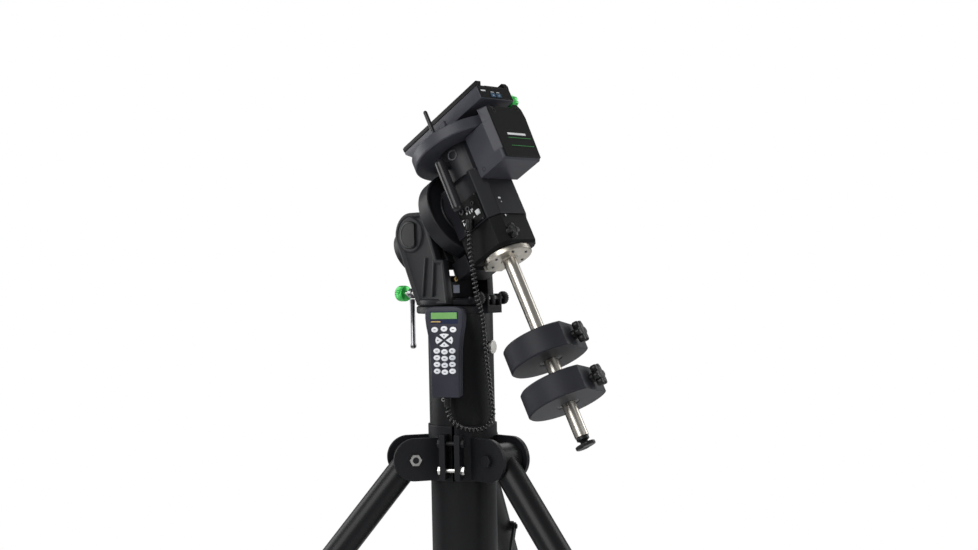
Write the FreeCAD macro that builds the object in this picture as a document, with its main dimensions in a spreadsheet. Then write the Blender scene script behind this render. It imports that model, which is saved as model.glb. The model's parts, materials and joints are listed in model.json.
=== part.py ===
import FreeCAD, Part
import math
import os

from FreeCAD import Placement, Rotation, Vector

# Equatorial telescope mount on a steel pier tripod, millimetres.
# +Z is up and +X is north, the way the polar axis leans. The origin is on the floor, under the
# middle of the footprint. The pier stands south of it, because one leg points north.

DIMENSIONS = {
    "latitude": 28.0,
    # tripod
    "column_radius": 75.0, "column_wall": 4.0, "column_bottom": 40.0,
    "hub_bottom": 614.0, "hub_top": 738.0, "hub_radius": 79.0,
    "pier_top": 991.0, "foot_circle": 658.6, "leg_slope": 49.75, "leg_radius": 31.5,
    "leg_wall": 3.0, "pivot_circle": 122.0, "pivot_height": 664.0, "cheek_gap": 66.0,
    "cheek_thickness": 9.0, "cheek_radius": 48.0, "pivot_bolt_radius": 8.0,
    "strut_reach": 288.0, "strut_pin_radius": 6.0, "strut_inside": 38.5,
    "strut_thickness": 6.0, "strut_width": 20.0, "foot_radius": 32.0, "foot_thickness": 20.0,
    # azimuth base and fork
    "flange_radius": 92.0, "flange_offset": -12.0, "flange_split": 1008.0, "flange_top": 1025.0,
    "spigot_radius": 40.0, "fork_inside": 70.0, "arm_thickness": 18.0,
    # tilting head
    "axes_height": 1253.0, "axes_offset": 84.0, "tilt_pivot": -174.0, "tilt_bolt_radius": 14.0,
    "casing_radius": 64.0, "casing_bore": 46.0, "casing_front": -112.5, "casing_back": -262.0,
    "ring_radius": 104.0, "polar_shaft_radius": 28.0,
    "wheel_radius": 48.0, "worm_radius": 8.0,
    # declination head
    "block_half": 62.0, "block_bottom": -80.0, "block_top": 42.0, "drum_radius": 70.0,
    "drum_top": 113.5, "head_bore": 44.0, "cap_bottom": -150.0, "disc_radius": 122.0,
    "disc_bottom": 114.0, "disc_top": 142.0, "saddle_bottom": 162.0, "saddle_floor": 197.0,
    "saddle_top": 208.0, "saddle_south": -125.0, "saddle_north": 149.0, "saddle_half": 57.0,
    "saddle_east": 48.0,
    "box_bottom": 8.5, "box_top": 146.0, "box_front": 148.0, "box_half": 57.0, "box_wall": 4.0,
    "dec_shaft_radius": 24.0,
    # counterweights
    "bar_radius": 15.5, "bar_end": -592.0, "plate_radius": 54.0, "plate_thickness": 13.0,
    "weight_radius": 90.0, "weight_height": 55.0, "upper_weight": -413.0, "lower_weight": -516.0,
    # handset and cord
    "handset_angle": 298.0, "handset_width": 90.0, "handset_height": 203.0,
    "handset_depth": 28.0, "handset_bottom": 806.0, "handset_standoff": 15.0, "cord_radius": 6.5,
}


class Size(float):
    """A number that remembers the sheet expression that gives it."""

    def __new__(cls, value, text):
        size = super().__new__(cls, value)
        size.text = text
        return size

    def __add__(self, other):
        return Size(float(self) + float(other), f"({self.text} + {text_of(other)})")

    def __sub__(self, other):
        return Size(float(self) - float(other), f"({self.text} - {text_of(other)})")

    def __mul__(self, other):
        return Size(float(self) * float(other), f"({self.text} * {text_of(other)})")

    def __truediv__(self, other):
        return Size(float(self) / float(other), f"({self.text} / {text_of(other)})")

    def __neg__(self):
        return Size(-float(self), f"(0 - {self.text})")


def text_of(number):
    return number.text if isinstance(number, Size) else repr(float(number))


class Sheet:
    """The driving dimensions, each an attribute that is a Size."""


doc = FreeCAD.newDocument("EquatorialMount")
cells = doc.addObject("Spreadsheet::Sheet", "Dims")
d = Sheet()
for row, (alias, number) in enumerate(DIMENSIONS.items(), start=1):
    cells.set(f"A{row}", alias)
    cells.set(f"B{row}", str(number))
    cells.setAlias(f"B{row}", alias)
    setattr(d, alias, Size(number, f"Dims.{alias}"))
doc.recompute()

COLUMN_X = -d.foot_circle / 4
COLUMN = Placement(Vector(COLUMN_X, 0, 0), Rotation())
HEAD = COLUMN * Placement(Vector(d.axes_offset, 0, d.axes_height),
                          Rotation(Vector(0, 1, 0), -DIMENSIONS["latitude"]))
NORTH, EAST, UP = (1, 0, 0), (0, 1, 0), (0, 0, 1)
nodes = []


def bind(item, name, size):
    """Tie one property to the sheet, or set it when it is a plain number."""
    if isinstance(size, Size):
        item.setExpression(name, size.text)
    elif name.startswith("Placement"):
        setattr(item.Placement.Base, name[-1], size)
    else:
        setattr(item, name, size)


def put(item, at, along=UP):
    item.Placement = Placement(Vector(*at), Rotation(Vector(0, 0, 1), Vector(*along)))
    for axis, size in zip("xyz", at):
        if isinstance(size, Size):
            item.setExpression(f"Placement.Base.{axis}", size.text)
    return item


def cylinder(radius, length, at=(0, 0, 0), along=UP):
    item = doc.addObject("Part::Cylinder", "Cylinder")
    bind(item, "Radius", radius)
    bind(item, "Height", length)
    return put(item, at, along)


def cone(radius, end_radius, length, at=(0, 0, 0), along=UP):
    item = doc.addObject("Part::Cone", "Cone")
    bind(item, "Radius1", radius)
    bind(item, "Radius2", end_radius)
    bind(item, "Height", length)
    return put(item, at, along)


def ball(radius, at):
    item = doc.addObject("Part::Sphere", "Sphere")
    bind(item, "Radius", radius)
    return put(item, at)


def block(low, high):
    """A box from its lowest corner to its highest."""
    item = doc.addObject("Part::Box", "Box")
    for name, start, end in zip(("Length", "Width", "Height"), low, high):
        bind(item, name, (end if isinstance(end, Size) else Size(end, repr(float(end)))) - start)
    return put(item, low)


def outline(points, length):
    """A flat outline of straight sides, extruded upward."""
    polygon = doc.addObject("Part::Polygon", "Outline")
    polygon.Nodes = [Vector(x, y, 0) for x, y in points]
    polygon.Close = True
    solid = doc.addObject("Part::Extrusion", "Extrusion")
    solid.Base = polygon
    solid.DirMode = "Custom"
    solid.Dir = Vector(0, 0, 1)
    solid.Solid = True
    bind(solid, "LengthFwd", length)
    return solid


def fuse(*items):
    if len(items) == 1:
        return items[0]
    result = doc.addObject("Part::MultiFuse", "Fusion")
    result.Shapes = list(items)
    return result


def cut(base, *tools):
    result = doc.addObject("Part::Cut", "Cut")
    result.Base = base
    result.Tool = fuse(*tools)
    return result


def group(*items):
    """Separate solids that share one node."""
    result = doc.addObject("Part::Compound", "Group")
    result.Links = list(items)
    return result


def chamfer(base, width, wanted):
    """Bevel the edges of a solid for which wanted(edge) is true."""
    doc.recompute()
    result = doc.addObject("Part::Chamfer", "Chamfer")
    result.Base = base
    edges = base.Shape.Edges
    result.Edges = [(i, width, width) for i, edge in enumerate(edges, 1) if wanted(edge)]
    return result


def runs_along(direction):
    """Test for the straight edges that lie along a direction."""
    line = Vector(*direction)

    def test(edge):
        if not isinstance(edge.Curve, Part.Line):
            return False
        return abs(abs(edge.tangentAt(edge.FirstParameter).dot(line)) - 1) < 1e-6
    return test


def is_rim(edge):
    return isinstance(edge.Curve, Part.Circle)


def keep(item, label, frame=COLUMN):
    """Name a sub-part and stand it in its frame."""
    item.Label = label
    item.Placement = frame * item.Placement
    nodes.append(item)
    return item


def at_angle(degrees, item):
    """Turn a finished solid about the column's axis."""
    turned = group(item)
    turned.Placement = Placement(Vector(), Rotation(Vector(0, 0, 1), degrees))
    return turned


def knob(lobes, radius, thickness, at, along):
    """A star knob: a core with round lobes about it."""
    core = cylinder(radius * 0.72, thickness)
    lobe_radius = radius * 0.26
    ends = []
    for number in range(lobes):
        angle = 2 * math.pi * number / lobes
        reach = radius - lobe_radius
        ends.append(cylinder(lobe_radius, thickness, (reach * math.cos(angle), reach * math.sin(angle), 0)))
    star = fuse(core, *ends)
    return put(star, at, along)


# ---------------------------------------------------------------- tripod

CLAMP_BOLTS = (642, 702)


def make_hub():
    """Cast ring between the two columns, with a clevis for each leg and a split clamp."""
    height = d.hub_top - d.hub_bottom
    ring = cylinder(d.hub_radius, height, (0, 0, d.hub_bottom))
    bore = cylinder(d.column_radius - 11, height, (0, 0, d.hub_bottom))
    cheeks = []
    holes = []
    for number in range(3):
        for side in (-1, 1):
            offset = side * (d.cheek_gap / 2 + d.cheek_thickness / 2) - d.cheek_thickness / 2
            start = (d.hub_radius - 12, offset, d.pivot_height - d.cheek_radius)
            end = (d.pivot_circle, offset + d.cheek_thickness, d.pivot_height + d.cheek_radius)
            plate = block(start, end)
            nose = cylinder(d.cheek_radius, d.cheek_thickness, (d.pivot_circle, offset, d.pivot_height), EAST)
            cheeks.append(at_angle(120 * number, fuse(plate, nose)))
        holes.append(at_angle(120 * number, cylinder(
            d.pivot_bolt_radius, 120, (d.pivot_circle, -60, d.pivot_height), EAST)))
    lugs = [at_angle(300, block((72, side - 6, 622), (112, side + 6, 722))) for side in (-17, 17)]
    clamp_holes = [at_angle(300, cylinder(5, 60, (98, -30, height_up), EAST)) for height_up in CLAMP_BOLTS]
    slot = at_angle(300, block((55, -3, d.hub_bottom - 1), (90, 3, d.hub_top + 1)))
    hub = cut(fuse(ring, *cheeks, *lugs), bore, slot, *holes, *clamp_holes)
    return keep(hub, "pier_hub")


def make_tube(label, bottom, top):
    tube = cylinder(d.column_radius, top - bottom, (0, 0, bottom))
    bore = cylinder(d.column_radius - d.column_wall, top - bottom, (0, 0, bottom))
    return keep(cut(tube, bore), label)


def make_pier_head():
    """Fixed flange on the pier, its azimuth spigot, and the yoke that holds the azimuth screws."""
    flange = cylinder(d.flange_radius, d.flange_split - d.pier_top, (d.flange_offset, 0, d.pier_top))
    rounded = chamfer(flange, 3, is_rim)
    spigot = cylinder(d.spigot_radius, 15, (0, 0, d.flange_split))
    shelf = block((70, -22, d.pier_top), (112, 22, d.flange_split))
    ears = [block((92, side * 19.5 - 2.5, 1000), (112, side * 19.5 + 2.5, 1034)) for side in (-1, 1)]
    screw_hole = cylinder(5.05, 60, (101, -30, 1024), EAST)
    return keep(cut(fuse(rounded, spigot, shelf, *ears), screw_hole), "pier_head")


def hexagon(across, thickness, at, along):
    item = doc.addObject("Part::Prism", "Hexagon")
    item.Polygon = 6
    item.Circumradius = across / math.sqrt(3)
    bind(item, "Height", thickness)
    return put(item, at, along)


def make_hub_bolts():
    """Three leg pivot bolts, the two clamp bolts and the pier's thumb screw, each one solid."""
    bolts = []
    outside = d.cheek_gap / 2 + d.cheek_thickness
    for number in range(3):
        shank = cylinder(d.pivot_bolt_radius, outside * 2, (d.pivot_circle, -outside, d.pivot_height), EAST)
        head = hexagon(24, 9, (d.pivot_circle, -outside - 9, d.pivot_height), EAST)
        nut = hexagon(24, 9, (d.pivot_circle, outside, d.pivot_height), EAST)
        bolts.append(at_angle(120 * number, fuse(shank, head, nut)))
    for height_up in CLAMP_BOLTS:
        shank = cylinder(5, 62, (98, -31, height_up), EAST)
        head = hexagon(17, 7, (98, -30, height_up), EAST)
        nut = hexagon(17, 8, (98, 23, height_up), EAST)
        bolts.append(at_angle(300, fuse(shank, head, nut)))
    thumb_screw = fuse(cylinder(4, 8, (d.column_radius, 0, 913), NORTH),
                       chamfer(cylinder(15, 8, (d.column_radius + 4, 0, 913), NORTH), 1.5, is_rim))
    bolts.append(at_angle(15, thumb_screw))
    return keep(group(*bolts), "hub_bolts")


def slope_frame(number, along=0):
    """Frame whose +X runs down a leg from its pivot, with Y level across the leg."""
    slope = float(d.leg_slope)
    turn = Placement(Vector(), Rotation(Vector(0, 0, 1), 120 * number))
    pivot = Placement(Vector(d.pivot_circle, 0, d.pivot_height), Rotation(Vector(0, 1, 0), slope))
    return COLUMN * turn * pivot * Placement(Vector(along, 0, 0), Rotation())


LEG_LENGTH = (d.foot_circle - d.pivot_circle) / math.cos(math.radians(d.leg_slope))


def make_leg(number):
    """Steel leg tube with its cast eye at the hub and a boss and pins for the strut."""
    length = LEG_LENGTH - 25
    tube = cylinder(d.leg_radius, length, (0, 0, 0), NORTH)
    bore = cylinder(d.leg_radius - d.leg_wall, length - 80, (80, 0, 0), NORTH)
    eye = cylinder(d.leg_radius + 4, d.cheek_gap - 2, (0, 1 - d.cheek_gap / 2, 0), EAST)
    boss = cylinder(13, 76, (d.strut_reach, -38, 0), EAST)
    pins = cylinder(d.strut_pin_radius, 96, (d.strut_reach, -48, 0), EAST)
    hole = cylinder(d.pivot_bolt_radius + 0.05, 80, (0, -40, 0), EAST)
    leg = cut(fuse(cut(fuse(tube, eye), bore), boss, pins), hole)
    return keep(leg, f"leg_{number + 1}", slope_frame(number))


def make_foot(number):
    """Rubber foot: a plug on the leg's end over a flat round pad."""
    plug = cylinder(d.leg_radius + 2, 14, (LEG_LENGTH - 25, 0, 0), NORTH)
    stem = cylinder(13, 24, (LEG_LENGTH - 14, 0, 0), NORTH)
    pad = cylinder(d.foot_radius, d.foot_thickness)
    level = Placement(Vector(LEG_LENGTH, 0, 0), Rotation(Vector(0, 1, 0), -float(d.leg_slope)))
    drop = float(d.pivot_height) - LEG_LENGTH * math.sin(math.radians(d.leg_slope))
    pad.Placement = level * Placement(Vector(0, 0, -drop), Rotation())
    return keep(fuse(plug, stem, pad), f"foot_{number + 1}", slope_frame(number))


def make_strut(number):
    """Two flat bars either side of a leg, from its pins in to the collar, with bolt heads."""
    bars = []
    length = d.strut_reach
    for side in (-1, 1):
        inner = d.strut_inside if side > 0 else -d.strut_inside - d.strut_thickness
        bar = block((0, inner, -d.strut_width / 2), (length, inner + d.strut_thickness, d.strut_width / 2))
        ends = [cylinder(d.strut_width / 2, d.strut_thickness, (place, inner, 0), EAST)
                for place in (0, float(length))]
        outer = side * float(d.strut_inside + d.strut_thickness)
        head = cylinder(9, 4, (length, outer, 0), (0, side, 0))
        hole = cylinder(d.strut_pin_radius + 0.05, 20, (0, inner - 5, 0), EAST)
        bars.append(cut(fuse(bar, *ends, head), hole))
    turn = Placement(Vector(), Rotation(Vector(0, 1, 0), 180 - 2 * float(d.leg_slope)))
    return keep(group(*bars), f"strut_{number + 1}", slope_frame(number, float(d.strut_reach)) * turn)


def make_collar():
    """Ring that slides on the lower column, with a pair of ears for each strut."""
    slope = math.radians(d.leg_slope)
    middle = float(d.pivot_height) - 2 * float(d.strut_reach) * math.sin(slope)
    ring = cylinder(d.column_radius + 9, 36, (0, 0, middle - 18))
    bore = cylinder(d.column_radius + 1, 36, (0, 0, middle - 18))
    ears = []
    for number in range(3):
        for side in (-1, 1):
            near = 32 if side > 0 else -38
            ear = block((72, near, middle - 12), (d.pivot_circle, near + 6, middle + 12))
            nose = cylinder(12, 6, (d.pivot_circle, near, middle), EAST)
            ears.append(at_angle(120 * number, fuse(ear, nose)))
    return keep(cut(fuse(ring, *ears), bore), "strut_collar")


# ---------------------------------------------------------------- azimuth base

LOWEST_LATITUDE = 20


def make_fork():
    """Azimuth flange with two tall arms, a cross web, the screw lug and the azimuth peg."""
    flange = cylinder(d.flange_radius, d.flange_top - d.flange_split - 0.5,
                      (d.flange_offset, 0, d.flange_split + 0.5))
    rounded = chamfer(flange, 3, is_rim)
    pivot_x, pivot_z = tilt_pivot()
    lean = math.radians(LOWEST_LATITUDE)
    clear = float(d.casing_front - d.tilt_pivot) - 0.5
    back_of_ring = [(pivot_x + clear * math.cos(lean) - place * math.sin(lean),
                     pivot_z + clear * math.sin(lean) + place * math.cos(lean)) for place in (-84, 16)]
    crown = [*back_of_ring, (-34, 1222), (pivot_x, 1222)]
    crown += arc_points(pivot_x, pivot_z, 1222 - pivot_z, 100, 190, 6)
    west_foot = [(-52, 1010), (50, 1010), (50, 1031), (38, 1112)]
    east_foot = [(-66, 1010), (22, 1010), (22, 1031), (18, 1112)]
    arms = []
    for side, foot in ((-1, west_foot), (1, east_foot)):
        start = float(d.fork_inside) if side < 0 else -float(d.fork_inside + d.arm_thickness)
        arm = outline(foot + crown, d.arm_thickness)
        arm.Placement = Placement(Vector(0, -start, 0), Rotation(Vector(1, 0, 0), 90))
        arms.append(arm)
    web = block((-36, -d.fork_inside - 1, d.flange_split + 2), (-24, d.fork_inside + 1, 1076))
    lug = block((-102, -16, d.flange_split + 2), (-62, 16, 1052))
    peg = block((70, -5, d.flange_split + 0.5), (110, 5, 1032))
    spigot_hole = cylinder(d.spigot_radius + 0.05, 30, (0, 0, d.flange_split - 5))
    bolt_hole = cylinder(d.tilt_bolt_radius, 200, (pivot_x, -100, pivot_z), EAST)
    screw_hole = cylinder(6.05, 70, (-110, 0, 1036), NORTH)
    fork = cut(fuse(rounded, *arms, web, lug, peg), spigot_hole, bolt_hole, screw_hole)
    return keep(fork, "fork")


def tilt_pivot():
    """Where the altitude axis crosses the plane through the two main axes."""
    lean = math.radians(DIMENSIONS["latitude"])
    along = float(d.tilt_pivot)
    return float(d.axes_offset) + along * math.cos(lean), float(d.axes_height) + along * math.sin(lean)


def arc_points(x, y, radius, start, end, steps):
    """Points of a round stretch of an outline, in degrees."""
    angles = [math.radians(start + (end - start) * step / steps) for step in range(steps + 1)]
    return [(x + radius * math.cos(angle), y + radius * math.sin(angle)) for angle in angles]


def make_tilt_bolts():
    """The two altitude pivot bolts with their round caps."""
    pivot_x, pivot_z = tilt_pivot()
    outside = d.fork_inside + d.arm_thickness
    bolts = []
    for side in (-1, 1):
        shank = cylinder(d.tilt_bolt_radius, outside - 62, (pivot_x, side * 62, pivot_z), (0, side, 0))
        cap = chamfer(cylinder(31, 4, (pivot_x, side * float(outside), pivot_z), (0, side, 0)), 1.5, is_rim)
        bolts.append(fuse(shank, cap))
    return keep(group(*bolts), "altitude_pivot_bolts")


def make_altitude_knob():
    """Green knob on the screw that sets the altitude."""
    grip = chamfer(cylinder(19, 24, (-207, 0, 1036), NORTH), 3, is_rim)
    screw = cylinder(6, 126, (-190, 0, 1036), NORTH)
    return keep(fuse(grip, screw), "altitude_knob")


def make_altitude_lever():
    """Lock lever hanging from the altitude screw: an eye, a long rod and a ball end."""
    eye = cylinder(12, 10, (-168, 0, 1036), NORTH)
    rod = cylinder(4.7, 118, (-163, 0, 911), UP)
    tip = ball(6.5, (-163, 0, 911))
    hole = cylinder(6.05, 20, (-173, 0, 1036), NORTH)
    return keep(cut(fuse(eye, rod, tip), hole), "altitude_lever")


def make_azimuth_knob(label, side):
    """Ribbed knob whose screw pushes on the azimuth peg from one side."""
    grip = chamfer(cylinder(15, 10, (101, side * 33, 1024), (0, side, 0)), 2, is_rim)
    screw = cylinder(5, 28, (101, side * 6.5, 1024), (0, side, 0))
    return keep(fuse(grip, screw), label)


# ---------------------------------------------------------------- tilting head, about the polar axis

def make_casing():
    """Casting that holds the polar shaft between the fork arms."""
    back, front = d.casing_back, d.casing_front
    barrel = cylinder(d.casing_radius, front - back, (back, 0, 0), NORTH)
    nose = cylinder(d.casing_radius + 4, 14, (front - 14, 0, 0), NORTH)
    bosses = [cylinder(30, 12, (d.tilt_pivot, side * 56, 0), (0, side, 0)) for side in (-1, 1)]
    gearbox = block((-168, -52, -96), (-126, 52, -30))
    saddle_box = block((-127, -44, -146), (-78, 44, -106))
    neck = block((-127, -30, -112), (front, 30, -60))
    bore = cylinder(d.casing_bore, 200, (back + 8, 0, 0), NORTH)
    wheel_room = cylinder(d.wheel_radius + 3, 22, (-158, 0, 0), NORTH)
    worm_room = block((-163, -48, -80), (-131, 48, -40))
    motor_room = block((-122, -40, -142), (-82, 40, -110))
    pins = [cylinder(d.tilt_bolt_radius + 0.05, 30, (d.tilt_pivot, side * 45, 0), (0, side, 0))
            for side in (-1, 1)]
    solid = fuse(barrel, nose, *bosses, gearbox, saddle_box, neck)
    casing = cut(solid, bore, wheel_room, worm_room, motor_room, *pins)
    return keep(casing, "ra_casing", HEAD)


def make_rear_cap():
    """Screw-in cap over the back end of the hollow polar shaft."""
    cap = chamfer(cylinder(44, 8, (d.casing_back - 8, 0, 0), NORTH), 2, is_rim)
    return keep(cap, "polar_cap", HEAD)


def make_polar_bearings():
    """Two ball bearings drawn as plain rings, pressed into the casing."""
    rings = []
    for place in (-247, -128):
        outer = cylinder(d.casing_bore, 16, (place, 0, 0), NORTH)
        inner = cylinder(d.polar_shaft_radius + 0.05, 16, (place, 0, 0), NORTH)
        rings.append(cut(outer, inner))
    return keep(group(*rings), "polar_bearings", HEAD)


def make_polar_shaft():
    """Hollow polar shaft with its front ring, which carries the declination head."""
    shaft = cylinder(d.polar_shaft_radius, 180, (-252, 0, 0), NORTH)
    ring = chamfer(cylinder(d.ring_radius, 38, (-110, 0, 0), NORTH), 2, is_rim)
    bore = cylinder(18, 200, (-255, 0, 0), NORTH)
    return keep(cut(fuse(shaft, ring), bore), "polar_shaft", HEAD)


def make_wheel(label, radius, shaft_radius, at, along):
    """Bronze worm wheel drawn as a plain disc with a bore."""
    disc = cylinder(radius, 14, at, along)
    bore = cylinder(shaft_radius, 14, at, along)
    return keep(cut(disc, bore), label, HEAD)


def make_worm(label, at):
    """Worm on its spindle, lying east and west."""
    x, z = at
    screw = cylinder(d.worm_radius, 44, (x, -22, z), EAST)
    spindle = cylinder(4, 84, (x, -42, z), EAST)
    pulley = cylinder(12, 8, (x, -38, z), EAST)
    return keep(fuse(screw, spindle, pulley), label, HEAD)


def make_motor(label, low, high, at):
    """Stepper motor with its pulley on an eastward spindle."""
    x, z = at
    can = block(low, high)
    spindle = cylinder(2.5, 20, (x, low[1] - 10, z), EAST)
    return keep(fuse(can, spindle), label, HEAD)


# ---------------------------------------------------------------- declination head

def make_dec_housing():
    """Bevelled block and drum that hold the declination shaft."""
    half = d.block_half
    body = block((-half, -half, d.block_bottom), (half, half, d.block_top))
    upright = runs_along(UP)
    bevelled = chamfer(body, 22, lambda edge: upright(edge) and edge.CenterOfMass.x > 0)
    bridge = block((-70, -50, -50), (-60, 50, 50))
    collar = block((-half + 6, -half + 10, d.block_top - 4), (half, half - 10, d.drum_top - 10))
    drum = cylinder(d.drum_radius, d.drum_top - d.block_top + 4, (0, 0, d.block_top - 4))
    link = cylinder(60, 12, (-72, 0, 0), NORTH)
    bore = cylinder(d.head_bore, 220, (0, 0, d.block_bottom + 8))
    gear_room = cylinder(d.wheel_radius + 3, 22, (0, 0, 52))
    worm_room = block((38, -45, 46), (75, 45, 80))
    bar_hole = cylinder(d.bar_radius, 20, (0, 0, d.block_bottom - 5))
    housing = cut(fuse(bevelled, bridge, collar, drum, link), bore, gear_room, worm_room, bar_hole)
    return keep(housing, "dec_housing", HEAD)


LOCK_SCREW = (22, -33, -128)


def make_end_cap():
    """Dark cap under the block, through which the counterweight bar passes."""
    half = d.block_half - 3
    body = block((-half, -half, d.cap_bottom), (half, half, d.block_bottom))
    upright = runs_along(UP)
    shaped = chamfer(body, 20, lambda edge: upright(edge) and edge.CenterOfMass.x > 0)
    lower = float(d.cap_bottom)
    eased = chamfer(shaped, 6, lambda edge: abs(edge.CenterOfMass.z - lower) < 0.01)
    hole = cylinder(d.bar_radius, 90, (0, 0, d.cap_bottom - 5))
    lock_hole = cylinder(5.05, 60, (LOCK_SCREW[0] - 2, *LOCK_SCREW[1:]), NORTH)
    return keep(cut(eased, hole, lock_hole), "dec_end_cap", HEAD)


def make_dec_bearings():
    rings = []
    for place in (-66, 92):
        outer = cylinder(d.head_bore, 16, (0, 0, place))
        inner = cylinder(d.dec_shaft_radius + 0.05, 16, (0, 0, place))
        rings.append(cut(outer, inner))
    return keep(group(*rings), "dec_bearings", HEAD)


def make_motor_cover():
    """Big tapered cover over the declination motor, open at the back, with a bevelled west edge."""
    low, high, half = d.box_bottom, d.box_top, d.box_half
    back = d.block_half
    front, under_disc = float(d.box_front), float(d.disc_bottom) - 2
    side = [(float(back), float(low)), (front - 6, float(low)), (front, low + 14), (front - 8, float(high)),
            (float(d.disc_radius) + 2.5, float(high)), (float(d.disc_radius) + 2.5, under_disc),
            (float(back), under_disc)]
    outer = outline(side, half * 2)
    outer.Placement = Placement(Vector(0, float(half), 0), Rotation(Vector(1, 0, 0), 90))
    bevel_at = -float(half)

    def front_edge(edge):
        middle = edge.CenterOfMass
        return middle.x > d.box_front - 10 and abs(middle.y - bevel_at) < 1 and edge.Length > 60
    shaped = chamfer(outer, 17, front_edge)
    wall = d.box_wall
    room = block((back - 1, -half + wall, low + wall), (d.box_front - 24, half - wall, under_disc - wall))
    corner = cylinder(5, 12, (84, -half - 1, 24), EAST)
    drum = cylinder(d.drum_radius, 200, (0, 0, 0))
    return keep(cut(shaped, room, corner, drum), "dec_motor_cover", HEAD)


def make_panel():
    """Connector panel on the west side, with its sockets and switch."""
    west = -d.block_half
    plate = block((-34, west - 4, -76), (36, west, -12))
    sockets = [cylinder(size, 8, (x, float(west) - 3, z), (0, -1, 0))
               for size, x, z in ((7, -20, -30), (6, 0, -34), (5, 18, -30))]
    switch = block((18, west - 9, -62), (30, west - 3, -50))
    return keep(fuse(plate, *sockets, switch), "connector_panel", HEAD)


def make_bar_flange():
    """Bright plate bolted under the end cap around the bar."""
    top = d.cap_bottom
    plate = chamfer(cylinder(d.plate_radius, d.plate_thickness, (0, 0, top - d.plate_thickness)), 1.5, is_rim)
    hole = cylinder(d.bar_radius, 40, (0, 0, top - 30))
    screws = [cylinder(4, 5, (41 * math.cos(a), 41 * math.sin(a), top - d.plate_thickness), UP)
              for a in (math.radians(30 + 60 * number) for number in range(6))]
    return keep(cut(plate, hole, *screws), "bar_flange", HEAD)


def make_bar():
    bar = cylinder(d.bar_radius, -d.bar_end - 68, (0, 0, d.bar_end))
    hole = cylinder(5.05, 30, (0, 0, d.bar_end - 1))
    return keep(cut(bar, hole), "counterweight_bar", HEAD)


def make_weight(label, bottom):
    """Rubber-coated weight: a disc with a flat for its knob and a bore for the bar."""
    disc = cylinder(d.weight_radius, d.weight_height, (0, 0, bottom))
    round_rim = chamfer(disc, 3, is_rim)
    flat = block((70, -60, bottom - 1), (120, 60, bottom + d.weight_height + 1))
    turn = Rotation(Vector(0, 0, 1), WEIGHT_FLAT)
    flat.Placement = Placement(Vector(), turn) * flat.Placement
    bore = cylinder(d.bar_radius + 0.1, 80, (0, 0, bottom - 10))
    bush = cylinder(26, 6, (0, 0, bottom - 1))
    screw_hole = put(cylinder(4.1, 110), (0, 0, bottom + d.weight_height / 2), direction(WEIGHT_FLAT))
    return keep(cut(round_rim, flat, bore, bush, screw_hole), label, HEAD)


WEIGHT_FLAT = 20


def direction(degrees):
    angle = math.radians(degrees)
    return math.cos(angle), math.sin(angle), 0


def make_weight_knob(label, bottom):
    """Star knob on the screw that clamps a weight to the bar."""
    x, y, _ = direction(WEIGHT_FLAT)
    middle = float(bottom + d.weight_height / 2)
    star = knob(6, 23, 14, (80 * x, 80 * y, middle), (x, y, 0))
    screw = cylinder(4, 64, (17 * x, 17 * y, middle), (x, y, 0))
    return keep(fuse(star, screw), label, HEAD)


def make_safety_knob():
    """Wing knob screwed into the end of the bar so that a weight can't slide off."""
    low = float(d.bar_end)
    collar = cylinder(14, 8, (0, 0, low - 8))
    wings = [block((-24, -4, low - 24), (24, 4, low - 6))]
    disc = cone(13, 20, 12, (0, 0, low - 20), (0, 0, 1))
    screw = cylinder(5, 20, (0, 0, low - 6))
    return keep(fuse(collar, disc, *wings, screw), "safety_knob", HEAD)


def make_lock_knob():
    """Star knob that locks the bar in its socket."""
    star = knob(5, 16, 12, (64, *LOCK_SCREW[1:]), NORTH)
    screw = cylinder(5, 44, LOCK_SCREW, NORTH)
    return keep(fuse(star, screw), "bar_lock_knob", HEAD)


def make_clutch_handle():
    """Thick rounded handle beside the drum that works the polar clutch."""
    handle = cylinder(11, 112, (-4, -92, -28))
    top = ball(11, (-4, -92, 84))
    bottom = ball(11, (-4, -92, -28))
    pivot = cylinder(9, 22, (-4, -92, 80), EAST)
    return keep(fuse(handle, top, bottom, pivot), "clutch_handle", HEAD)


# ---------------------------------------------------------------- saddle, about the declination axis

def make_dec_shaft():
    """Declination shaft with the large disc and neck that carry the saddle."""
    shaft = cylinder(d.dec_shaft_radius, d.disc_bottom + 66, (0, 0, -66))
    disc = chamfer(cylinder(d.disc_radius, d.disc_top - d.disc_bottom, (0, 0, d.disc_bottom)), 2, is_rim)
    neck = cylinder(56, d.saddle_bottom - d.disc_top, (0, 0, d.disc_top))
    cheeks = [block((8, y, d.disc_top - 1), (20, y + 3.6, 153)) for y in (-103, -88.6)]
    return keep(fuse(shaft, disc, neck, *cheeks), "dec_disc", HEAD)


def make_saddle():
    """Long dovetail clamp: base with a raised pad, fixed undercut west jaw, bevelled south end."""
    low, floor_z, top = float(d.saddle_bottom), float(d.saddle_floor), float(d.saddle_top)
    south, north, half = float(d.saddle_south), float(d.saddle_north), float(d.saddle_half)
    gutter = floor_z - 1
    side = [(south + 24, low), (north, low), (north, gutter), (south, gutter), (south, gutter - 9)]
    base = outline(side, half + float(d.saddle_east))
    base.Placement = Placement(Vector(0, d.saddle_east, 0), Rotation(Vector(1, 0, 0), 90))
    pad = block((south, -30, gutter - 1), (north, 24, d.saddle_floor))
    jaw_shape = [(-half, gutter - 1), (-41, gutter - 1), (-41, gutter), (-36, top), (-half + 6, top),
                 (-half, top - 6)]
    jaw = outline(jaw_shape, north - south)
    jaw.Placement = Placement(Vector(south, 0, 0), ALONG_SADDLE)
    screw_holes = [cylinder(5.05, 50, (x, 18, 180), EAST) for x in SADDLE_KNOBS]
    return keep(cut(fuse(base, pad, jaw), *screw_holes), "saddle", HEAD)


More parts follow.
